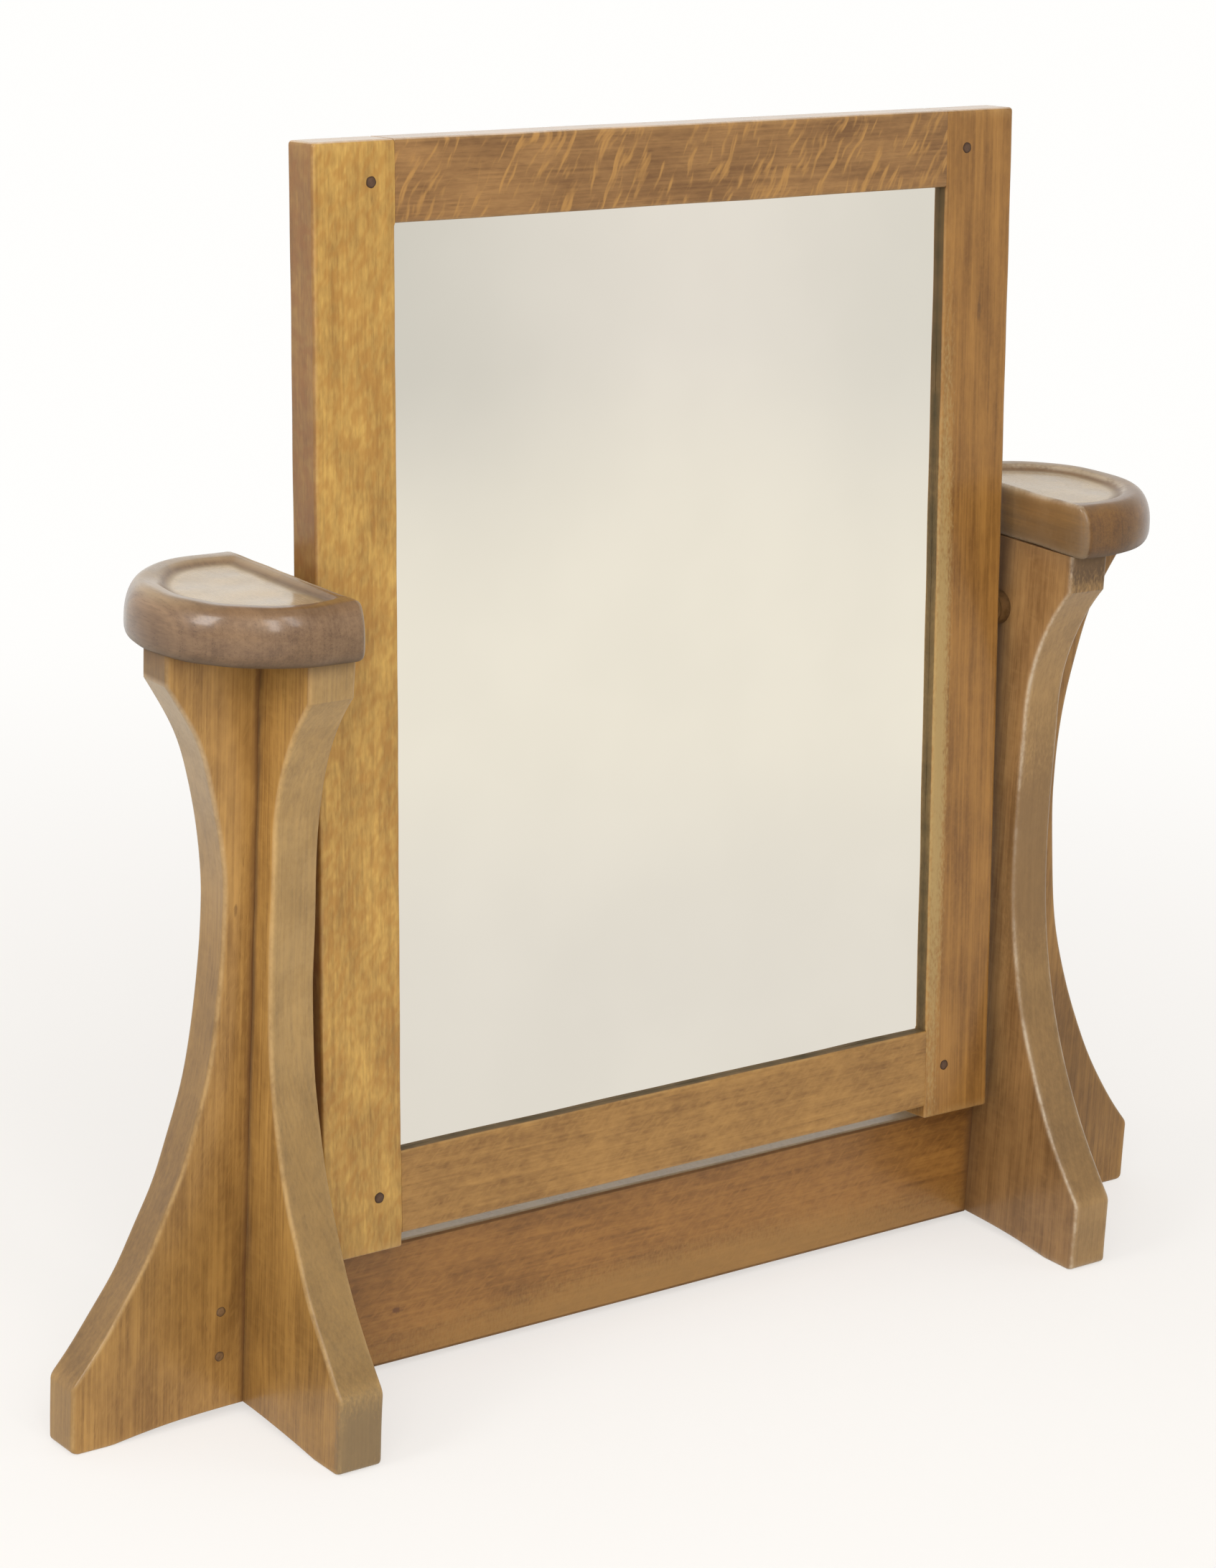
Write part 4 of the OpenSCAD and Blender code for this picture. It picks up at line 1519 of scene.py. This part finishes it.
@dataclass
class Tray:
    """One half-round tray with a coved dish, flat side towards the mirror.

    The dish's round is centred dish_centre out from the flat side, and its lip has the radius
    dish_lip there. dish_wall is how far its straight wall stands from the flat side.
    """

    side: Side
    inner: float = 260.0
    low: float = 448.0
    thick: float = 32.0
    radius: float = 72.5
    straight: float = 22.0
    top_round: float = 11.0
    top_fall: float = 20.0
    low_round: float = 6.0
    low_rise: float = 8.5
    flat_round: float = 2.6
    corner: float = 5.0
    least_corner: float = 2.2
    dish_depth: float = 4.0
    dish_centre: float = 23.0
    dish_lip: float = 53.98
    dish_wall: float = 5.52
    point_soft: float = 0.8
    lip_soft: float = 2.6
    cove: float = 9.0
    crown: float = 0.8
    land: float = 7.5

    @staticmethod
    def drawn_in(depth: Array, reach: float, fall: float) -> Array:
        """How far a quarter ellipse of that reach and fall draws in at a depth below its face."""
        share = np.clip(1 - depth / fall, 0, 1)
        return reach * (1 - np.sqrt(1 - share * share))

    def section(self, flat: Array, half: Array, corner: Array) -> Array:
        """Level section at each height: a flat side, two corners and a round end.

        Args:
            flat: Distance of the flat side from its full place.
            half: Half width, which is also the radius of the round end.
            corner: Radius of the two corners.

        Returns:
            Rings of points, (heights, m, 2), from the flat side outwards.
        """
        def arc(u: Array, v: Array, r: Array, start: float, end: float, count: int) -> Array:
            """Points along an arc from one angle to another, in degrees."""
            a = np.radians(np.linspace(start, end, count, endpoint=False))[None, :]
            return np.stack([u[:, None] + r[:, None] * np.cos(a), v[:, None] + r[:, None] * np.sin(a)], -1)

        def line(u0: Array, v0: Array, u1: Array, v1: Array, count: int) -> Array:
            """Points along a line, without its end."""
            f = np.linspace(0, 1, count, endpoint=False)[None, :, None]
            return np.stack([u0, v0], -1)[:, None] + np.stack([u1 - u0, v1 - v0], -1)[:, None] * f

        straight = np.full_like(half, self.straight)
        u, v = flat + corner, half - corner
        return np.concatenate([
            arc(u, -v, corner, 180, 270, 8),
            line(u, -half, straight, -half, 10),
            arc(straight, np.zeros_like(half), half, -90, 90, 130),
            line(straight, half, u, half, 10),
            arc(u, v, corner, 90, 180, 8),
            line(flat, v, flat, -v, 74),
        ], 1)

    def dish_line(self, plan: Array) -> Array:
        """Distance inwards from the dish's lip: the smaller of that to its round and its wall.

        The smaller is taken softly, -k log(exp(-a / k) + exp(-b / k)), to ease the two points.

        Args:
            plan: Points from the flat side, (..., 2).

        Returns:
            Distances, positive inside the dish.
        """
        a = self.dish_lip - np.hypot(plan[..., X] - self.dish_centre, plan[..., Y])
        b = plan[..., X] - self.dish_wall
        least, soft = np.minimum(a, b), self.point_soft
        return least - soft * np.log(np.exp(-(a - least) / soft) + np.exp(-(b - least) / soft))

    def sunk(self, inside: Array) -> Array:
        """Depth of the dish below the top face.

        A cove of radius R down to a flat floor, averaged over a few millimetres so that lip
        and floor are eased, and a land that falls by the crown towards the lip.

        Args:
            inside: Distance inwards from the lip.

        Returns:
            Depths.
        """
        run = math.sqrt(self.cove ** 2 - (self.cove - self.dish_depth) ** 2)
        offsets = np.linspace(-self.lip_soft, self.lip_soft, 13)
        weight = np.cos(offsets / self.lip_soft * np.pi / 2) ** 2
        total = np.zeros_like(inside)
        for offset, share in zip(offsets, weight / weight.sum()):
            d = np.clip(run - (inside + offset), 0, run)
            total += share * (self.dish_depth - (self.cove - np.sqrt(self.cove ** 2 - d * d)))
        land = np.clip(inside / self.land + 1, 0, 1)
        return np.maximum(total, 0) + self.crown * land * land * (1 - total / self.dish_depth)

    def side_depths(self) -> Array:
        """Depths below the top face of the side's rings, close together along its rounds.

        Returns:
            The depths, from the underside up.
        """
        turn = np.sin(np.linspace(0, np.pi / 2, 12))
        top = np.union1d(self.top_fall * (1 - turn), self.flat_round * (1 - turn[::2]))
        low = np.union1d(self.low_rise * (1 - turn[::2]), self.flat_round * (1 - turn[::3]))
        plain = np.linspace(top[-1], self.thick - low[-1], 6)[1:-1]
        return np.concatenate([top, plain, (self.thick - low)[::-1]])[::-1]

    def skin(self) -> Skin:
        """The whole tray: level sections up its side, closed by its underside and its dish.

        Underside and top are the lowest and highest section, shrunk towards the dish's centre.

        Returns:
            Its skin, on the right.
        """
        depth = self.side_depths()
        rise = self.thick - depth
        inset = self.drawn_in(depth, self.top_round, self.top_fall)
        inset += self.drawn_in(rise, self.low_round, self.low_rise)
        flat = sum(self.drawn_in(d, self.flat_round, self.flat_round) for d in (depth, rise))
        corner = np.maximum(self.corner - 0.35 * inset, self.least_corner)
        wall = self.section(flat, self.radius - inset, corner)
        middle = np.array([self.dish_centre, 0.0])
        shrink = np.concatenate([np.linspace(0.985, 0.50, 44), np.linspace(0.47, 0.03, 15)])
        over = middle + (wall[-1] - middle) * shrink[:, None, None]
        under = middle + (wall[0] - middle) * np.linspace(0.05, 0.96, 9)[:, None, None]
        height = np.concatenate([
            np.zeros(under.shape[:2]), np.broadcast_to(rise[:, None], wall.shape[:2]),
            self.thick - self.sunk(self.dish_line(over)),
        ])
        points = np.concatenate([np.concatenate([under, wall, over]), height[..., None]], -1)
        masks = self.masks(points, depth[:, None], len(under))
        return Skin(points + np.array([self.inner, 0.0, self.low]), masks)

    def masks(self, points: Array, depth: Array, first: int) -> dict[str, Array]:
        """Wear, dust, painted shade and painted sheen of the tray.

        Args:
            points: Rings of the underside, the side and the top face, from the flat side.
            depth: Depth of the side's rings below the top face, (n, 1).
            first: Number of rings of the underside.

        Returns:
            The masks, by name.
        """
        wall, over = points[first:first + len(depth)], points[first + len(depth):]
        inside = self.dish_line(over)
        rise = self.thick - depth
        on_flat = wall[..., X] < self.flat_round + 0.2
        by_wall = bell(over[..., X] - self.dish_wall, 9.0)

        def spread(side: Array, top: Array) -> Array:
            """A mask of the side and the top face, with nothing underneath."""
            parts = (0.0, first), (side, len(depth)), (top, len(over))
            return np.concatenate([np.broadcast_to(v, (n, points.shape[1])) for v, n in parts])

        land = spread(ramp(depth, 5.5, 1.5), ramp(inside, 3.0, 0.0))
        front = np.clip(0.1 - points[..., Y] / 50.0, 0.1, 1)
        # Dust and painted shade in the cove, most beside the straight wall
        floor = (0.3 + 0.5 * by_wall) * bell(inside - 5.0, 3.0)
        return {
            "arris": spread((bell(depth, 2.0) + bell(rise, 2.0)) * on_flat, bell(inside, 2.4)),
            # Painted shade along the foot of the side, then the cove's dust and painted shade
            "nook": spread(0.9 * bell(rise, 3.5), floor),
            # Painted sheen on the flat side, the dish's floor and the back of the land
            "pale": spread(0.2 * on_flat, ramp(inside, 1.8, 7.8) ** 1.3) + 0.5 * land * (1 - front),
            "rim": land * front,
            # Painted shade growing down the side
            "grime": spread(0.95 * np.clip(1.2 - rise / 22.0, 0, 1), 0.0),
        }

    def build(self, finish: OakFinish) -> None:
        """Builds and dresses the tray.

        Args:
            finish: Its finish.
        """
        node = self.side.named("tray")
        uneven = Unevenness(height=0.4, seed=40 + self.side.value, shortest=26.0, longest=70.0)
        piece = mesh_piece(node + "_oak", [self.skin().on(self.side).placed(uneven)], sharp=50.0)
        dress(piece, Body.STAND, finish.material(), node)


@dataclass
class Stretcher:
    """The board on edge that ties the two uprights together."""

    reach: float = 260.0
    thick: float = 23.0
    low: float = 5.0
    high: float = 81.0
    arris: float = 2.0
    uneven: Unevenness = Unevenness(height=0.3, seed=33, still_floor=True)

    def build(self, finish: OakFinish) -> None:
        """Builds and dresses the stretcher, with painted shade at its ends and along its front arrises.

        Args:
            finish: Its finish.
        """
        half = self.thick / 2
        low, high = (-self.reach, -half, self.low), (self.reach, half, self.high)
        skin = plain_bar(low, high, X, self.arris, steps=18)
        x, y, z = (skin.points[..., k] for k in (X, Y, Z))
        # Painted shade where the stretcher meets the uprights and along its top and bottom front arrises
        end = bell(self.reach - np.abs(x), 5.0)
        turned = (z > self.high - 2.2) | (z < self.low + 2.2)
        front = (y < -half + 0.9) & turned
        skin.masks["nook"] = np.clip(0.9 * end + 0.8 * front, 0, 1)
        # Painted sheen on the top face
        skin.masks["pale"] = 0.8 * (z > self.high - 0.4)
        piece = mesh_piece("stretcher_oak", [skin.placed(self.uneven)])
        dress(piece, Body.STAND, finish.material(), "stretcher")


@dataclass
class Hardware:
    """Pivot pins, bushes, collars, bead pins and dowels, which keep their CAD shapes."""

    steel: MetalFinish = MetalFinish("bright steel", (0.52, 0.51, 0.50), (0.30, 0.28, 0.26), 0.28)
    brass: MetalFinish = MetalFinish("browned brass", (0.27, 0.165, 0.075), (0.2, 0.12, 0.05), 0.6)

    def build(self, dowel: OakFinish) -> None:
        """Paints every fitting.

        Args:
            dowel: Finish of the dowels.
        """
        steel, brass, wood = self.steel.material(), self.brass.material(), dowel.material()
        repaint("bead_pins", steel)
        for side in Side:
            repaint(side.named("pivot_pin"), steel)
            repaint(side.named("bush"), brass)
            repaint(side.named("collar"), brass)
            repaint(side.named("tray_dowels"), wood)


# Studio


@dataclass(frozen=True)
class Lamp:
    """A soft light: its place, aim, width and height, strength, and whether polish shows it."""

    name: str
    place: Triple
    aim: Triple
    size: Pair
    watts: float
    color: Tone = (1.0, 1.0, 1.0)
    mirrored: bool = True

    def build(self) -> None:
        """Adds the light to the scene."""
        light = bpy.data.lights.new(self.name, "AREA")
        light.energy = self.watts
        light.shape = "RECTANGLE"
        light.size, light.size_y = self.size
        light.color = self.color
        lamp = put_in_scene(self.name, light)
        lamp.location = self.place
        lamp.visible_glossy = self.mirrored
        toward = Vector(self.aim) - Vector(self.place)
        lamp.rotation_euler = toward.to_track_quat("-Z", "Y").to_euler()


@dataclass
class Studio:
    """Floor, sky, lights and camera, in metres and degrees; the focal length is in pixels."""

    eye: Triple = (-1.446061, -1.799600, 1.004487)
    yaw: float = 38.015
    pitch: float = 16.419
    roll: float = 2.833
    focal: float = 5720.9
    photo_height: float = 2184.0
    floor_size: float = 44.0
    sky: float = 0.45
    white: Tone = (1.0, 1.0, 1.0)
    daylight: Tone = (1.0, 0.99, 0.97)
    cream_wall: Tone = (0.855, 0.80, 0.71)
    white_wall: Tone = (1.0, 0.99, 0.965)
    ceiling: Tone = (0.5, 0.49, 0.47)
    lamps: tuple[Lamp, ...] = (
        Lamp("key", (-2.3, -2.2, 2.2), (0.0, 0.0, 0.35), (2.0, 2.0), 44.0,
             color=(1.0, 0.99, 0.97), mirrored=False),
        Lamp("left window", (-2.837, -0.173, 2.138), (-0.341, -0.038, 0.476), (0.9, 1.3), 28.0),
        Lamp("front window", (-1.166, -2.417, 2.128), (-0.314, -0.062, 0.475), (0.4, 1.7), 16.0),
        Lamp("second window", (-0.286, -2.231, 2.553), (-0.304, -0.065, 0.477), (0.4, 1.7), 11.0),
        Lamp("fill", (2.5, -2.5, 1.8), (0.0, 0.0, 0.35), (1.6, 1.6), 12.0, mirrored=False),
        Lamp("overhead", (-0.2, 0.4, 3.0), (0.0, 0.0, 0.3), (2.2, 2.2), 12.0, mirrored=False),
    )

    def camera(self) -> None:
        """Sets the camera where the photograph was taken from."""
        yaw, pitch, roll = (math.radians(a) for a in (self.yaw, self.pitch, self.roll))
        flat = math.cos(pitch)
        ahead = Vector((math.sin(yaw) * flat, math.cos(yaw) * flat, -math.sin(pitch)))
        level = Vector((math.cos(yaw), -math.sin(yaw), 0.0))
        over = level.cross(ahead)
        right = level * math.cos(roll) + over * math.sin(roll)
        up = over * math.cos(roll) - level * math.sin(roll)
        data = bpy.data.cameras.new("camera")
        data.sensor_width = 36.0
        data.lens = self.focal * data.sensor_width / self.photo_height
        data.clip_end = 100.0
        seen = put_in_scene("camera", data)
        turn = Matrix((right, up, -ahead)).transposed().to_4x4()
        seen.matrix_world = Matrix.Translation(self.eye) @ turn
        bpy.context.scene.camera = seen

    def world(self) -> None:
        """Lights the scene evenly; the camera sees white.

        Polish sees white behind the object, a warm wall in front and a dimmer ceiling.
        """
        world = bpy.data.worlds.new("studio")
        bpy.context.scene.world = world
        world.use_nodes = True
        w = Wiring(world.node_tree)
        path = w.node("LightPath").outputs
        polish = w.math("MAXIMUM", path["Is Glossy Ray"], path["Is Transmission Ray"])
        y, z = w.split(w.node("TexCoord").outputs["Generated"])[1:]
        wall = w.mix(w.step(y, -0.3, 0.2), self.cream_wall, self.white_wall)
        wall = w.mix(w.step(z, 0.3, 0.8), wall, self.ceiling)
        tone = w.mix(polish, self.daylight, wall)
        level = w.plus(w.times(polish, 1 - self.sky), self.sky)
        w.fill(
            world.node_tree.nodes["Background"],
            Color=w.mix(path["Is Camera Ray"], tone, self.white),
            Strength=w.math("MAXIMUM", level, path["Is Camera Ray"]),
        )

    def room_tone(self, w: Wiring, seen: Socket) -> Socket:
        """What polish and the plate see of the floor: cream in front, white elsewhere.

        Args:
            w: Wiring of the floor's material.
            seen: Place on the floor, in metres.

        Returns:
            The colour.
        """
        x, y = w.split(seen)[:2]
        away = w.vector("LENGTH", seen)
        near = w.mix(w.step(away, 0.8, 2.3), (0.84, 0.79, 0.70), (0.93, 0.87, 0.74))
        tone = w.mix(w.step(away, 3.2, 9.0), near, self.cream_wall)
        turn = w.math("ARCTAN2", x, w.times(y, -1.0))
        far = w.step(away, 2.6, 8.0)
        tone = w.mix(w.times(w.step(turn, 0.67, 0.57), far), tone, (0.70, 0.665, 0.585))
        tone = w.mix(w.times(w.step(turn, 0.67, 0.75), far), tone, (0.79, 0.75, 0.66))
        aside = w.math("MAXIMUM", w.step(y, -0.35, 0.1), w.step(x, -0.3, -0.8))
        return w.mix(w.times(aside, w.step(away, 0.6, 1.6)), tone, (1.0, 0.985, 0.955))

    def floor(self) -> None:
        """Lays a pale paper floor that keeps the object's soft shadow.

        The camera sees the paper melt into white away from the object, polish sees the room.
        """
        half = self.floor_size / 2
        mesh = bpy.data.meshes.new("floor")
        corners = [(-half, -half, 0.0), (half, -half, 0.0), (half, half, 0.0), (-half, half, 0.0)]
        mesh.from_pydata(corners, [], [(0, 1, 2, 3)])
        floor = put_in_scene("floor", mesh)
        paper, w, shader = new_material("paper")
        seen = w.node("TexCoord").outputs["Object"]
        cloud = w.noise(seen, 2.0, (0.7, 0.7, 0.7))
        w.fill(
            shader, Base_Color=w.mix(cloud, (0.89, 0.865, 0.83), (0.92, 0.895, 0.86)),
            Roughness=0.85, Specular_IOR_Level=0.2,
        )
        path = w.node("LightPath").outputs
        away = w.vector("LENGTH", seen)
        tone = w.mix(w.step(away, 0.4, 2.0), (0.99, 0.965, 0.935), (1.0, 0.995, 0.98))
        white = w.fill(w.node("Emission"), Color=tone).outputs[0]
        room = w.fill(w.node("Emission"), Color=self.room_tone(w, seen)).outputs[0]
        melted = w.plus(w.step(away, 0.3, 1.6, 0.36), 0.64)
        lit = w.blend(w.times(melted, path["Is Camera Ray"]), shader.outputs[0], white)
        shown = w.blend(path["Is Glossy Ray"], lit, room)
        w.fill(paper.node_tree.nodes["Material Output"], Surface=shown)
        mesh.materials.append(paper)

    def build(self) -> None:
        """Sets up camera, sky, floor and lights."""
        self.camera()
        self.world()
        self.floor()
        for lamp in self.lamps:
            lamp.build()
        bpy.context.scene.view_settings.view_transform = "Standard"


# Finishes of the pieces


def frame_oak() -> dict[str, OakFinish]:
    """The oak of the mirror frame, and of the stretcher, which is like the bottom rail.

    Returns:
        Finishes by piece.
    """
    stile = OakFinish(
        "golden oak, left stile", Grain.UPRIGHT, (0.43, 0.247, 0.058), ray=(0.82, 0.62, 0.42),
        # Sheen painted on the top ends, and dirt and painted shade on the lip's wall
        rim_tone=(0.096, 0.018, 0.0045), rim_share=1.0, pale_tone=(0.60, 0.46, 0.34),
        dirt=(0.066, 0.049, 0.021), swing=0.34, band_depth=0.3, line_depth=0.7,
        curl_depth=1.1, curl_size=(1.7, 1.7, 7.0), mottle_depth=1.5, pore_depth=0.12,
        fleck_amount=0.5, fleck_size=(4.5, 8.0, 9.0), fleck_soft=0.2, fleck_rarity=0.72,
        slant=20.0, lean=LEAN, wear=0.35,
    )
    sapwood = Mark((202.0, 0.0, 290.0), (9.5, 60.0, 340.0), (0.42, 0.29, 0.11), 0.8, 0.0)
    knot = Mark((226.0, 14.0, 592.0), (2.2, 24.0, 12.0), (0.07, 0.035, 0.015), 0.7)
    right = replace(
        stile, name="red-brown oak, right stile", tone=(0.266, 0.123, 0.027),
        ray=(1.3, 1.35, 1.4), fleck_amount=0.15, fleck_size=(2.4, 8.0, 3.2), fleck_soft=0.11,
        curl_depth=0.5, line_depth=1.1, streak_depth=1.2, mottle_depth=1.4,
        pith=(60.0, 90.0, 0.0), marks=(sapwood, knot),
    )
    rail = replace(
        stile, name="rayed oak, top rail", grain=Grain.ACROSS, tone=(0.241, 0.120, 0.0385),
        ray=(1.75, 1.8, 1.5), fleck_amount=0.9, fleck_size=(3.2, 16.0, 17.0), slant=-62.0,
        fleck_bend=3.0, fleck_soft=0.14, fleck_rarity=0.79, curl_depth=0.7, pore_depth=0.25,
        line_depth=1.0, mottle_depth=1.8, pith=(-160.0, 25.0, 0.0),
    )
    low_rail = replace(
        rail, name="brown oak, bottom rail", tone=(0.303, 0.155, 0.0405), ray=(1.3, 1.35, 1.4),
        fleck_amount=0.35, fleck_size=(2.2, 12.0, 8.0), slant=-40.0, curl_depth=1.0,
        fleck_rarity=0.76, line_depth=0.8, curl_size=(3.0, 3.0, 7.0), mottle_depth=1.2,
    )
    golden = Mark((40.0, -11.5, 6.0), (330.0, 8.0, 34.0), (0.35, 0.19, 0.05), 0.6, 0.0)
    dent = Mark((-184.0, -11.5, 38.0), (4.0, 6.0, 2.6), (0.09, 0.03, 0.014), 0.7)
    stretcher = replace(
        low_rail, name="brown oak, stretcher", lean=0.0, tone=(0.262, 0.116, 0.0245),
        # Dirt and painted shade at the ends and front arrises, painted sheen on the top face
        dirt=(0.10, 0.045, 0.016), pale_tone=(0.50, 0.435, 0.295), fleck_amount=0.5,
        tool_height=0.35, marks=(golden, dent),
    )
    return {
        "left_stile": stile, "right_stile": right, "top_rail": rail, "bottom_rail": low_rail,
        "stretcher": stretcher,
    }


def upright_oak() -> dict[str, OakFinish]:
    """The oak of the uprights' boards and wings and of the back board.

    Returns:
        Finishes by piece.
    """
    scar = Mark((-301.0, -13.0, 300.0), (1.5, 8.0, 5.0), (0.14, 0.065, 0.02), 0.6)
    wing = OakFinish(
        "brown oak, wing", Grain.UPRIGHT, (0.365, 0.195, 0.052), pith=(-330.0, 160.0, 0.0),
        tool_height=0.4, curl_depth=0.6, line_depth=1.3, mottle_depth=1.4, pore_depth=0.35,
        # Dirt and painted shade in the nooks, painted sheen on the upper edge
        rim_tone=(0.192, 0.121, 0.053), dirt=(0.12, 0.048, 0.014),
        pale_tone=(0.38, 0.295, 0.195), marks=(scar,),
    )
    # Darker front end of the left board's toe
    worn_toe = Mark((-274.5, -112.0, 18.0), (60.0, 8.0, 42.0), (0.17, 0.115, 0.058), 0.7, 0.0)
    board = replace(
        # Dirt and painted shade in the nooks
        wing, name="brown oak, upright", tone=(0.356, 0.19, 0.050), dirt=(0.125, 0.066, 0.03),
        pith=(-120.0, 60.0, 0.0), rim_tone=(0.32, 0.23, 0.105), marks=(worn_toe,),
    )
    # Painted shadow of the right tray on the front edge of the board's block
    under_tray = Mark((274.5, -63.5, 447.0), (60.0, 6.0, 30.0), (0.075, 0.038, 0.016), 0.95, 0.0)
    # Painted shade on the front edge of the right board about its waist
    waist_stain = Mark((274.5, -33.0, 250.0), (60.0, 12.0, 110.0), (0.17, 0.09, 0.032), 0.6, 0.0)
    return {
        "left_wing": wing,
        "left_upright": board,
        # Darker than the left wing, partly as painted shade for the weaker light on the right
        "right_wing": replace(
            wing, name="brown oak, right wing", tone=(0.28, 0.14, 0.036), marks=()),
        # Darker than the left board, partly as painted shade for the weaker light on the right
        "right_upright": replace(
            board, name="brown oak, right upright", tone=(0.298, 0.160, 0.058),
            # Paler, stronger arris wear, partly a painted highlight; darker edge tone, partly painted
            # shade
            rim_tone=(0.30, 0.19, 0.07), worn=(0.62, 0.52, 0.39), wear=0.65,
            marks=(under_tray, waist_stain)),
        "back_board": replace(
            wing, name="plain oak, back board", tone=(0.34, 0.22, 0.11), roughness=0.6,
            coat=0.0, lean=LEAN, band=9.0, wear=0.2, marks=()),
    }


def small_oak(board: OakFinish) -> dict[str, OakFinish]:
    """The oak of the trays, the pegs and the beads.

    Args:
        board: Finish of the back board, which the beads are like.

    Returns:
        Finishes by piece.
    """
    tray = OakFinish(
        "polished oak, tray", Grain.DEEP, (0.199, 0.114, 0.057), pith=(-900.0, -464.0, 0.0),
        band=1.9, band_depth=0.35, line_depth=1.0, streak_depth=1.0, mottle_depth=1.6,
        worn=(0.26, 0.16, 0.07), wear=0.3, roughness=0.36, coat=0.6, coat_roughness=0.16,
        # Dust and painted shade in the nooks, painted sheen on the dish's floor and the back of the land
        specular=0.4, tool_height=0.5, dirt=(0.10, 0.06, 0.03), tool_scale=0.04, wander=1.0,
        pale_tone=(0.50, 0.38, 0.222), fleck_amount=0.1, rim_tone=(0.155, 0.075, 0.022),
        rim_share=0.85,
    )
    pegs = OakFinish(
        "end-grain oak, pegs", Grain.DEEP, (0.085, 0.042, 0.022), wear=0.0, fleck_amount=0.0,
        dirt=(0.035, 0.018, 0.009), roughness=0.5, coat=0.2,
    )
    return {
        "left_tray": tray,
        # Darker than the left tray, partly as painted shade for the weaker light on the right
        "right_tray": replace(
            tray, name="polished oak, right tray", tone=(0.163, 0.072, 0.0145),
            # Pale, strong wear on the flat side's edges and the dish's lip, partly a painted highlight
            worn=(0.55, 0.45, 0.34), wear=0.7, rim_tone=(0.2, 0.115, 0.05), coat=0.4),
        "frame_pegs": pegs,
        "wing_pegs": replace(pegs, name="oak, wing pegs", tone=(0.19, 0.105, 0.045)),
        "bead": replace(board, name="plain oak, beads", tone=(0.26, 0.155, 0.07)),
    }


def main() -> None:
    """Builds the object's sub-assemblies and the studio in order."""
    logging.basicConfig(level=logging.INFO, format="%(name)s %(message)s")
    GROUPS.update(figure=OakFigure().build(), handling=Handling().build(), blemish=Blemish().build())
    finishes = frame_oak() | upright_oak()
    finishes |= small_oak(finishes["back_board"])
    Studio().build()
    MirrorFrame().build(finishes, SilverFinish())
    for side in Side:
        upright, wing, tray = (finishes[side.named(part)] for part in ("upright", "wing", "tray"))
        Upright(side).build(upright, wing, finishes["wing_pegs"])
        Tray(side).build(tray)
    Stretcher().build(finishes["stretcher"])
    Hardware().build(finishes["bead"])


if __name__ == "__main__":
    main()
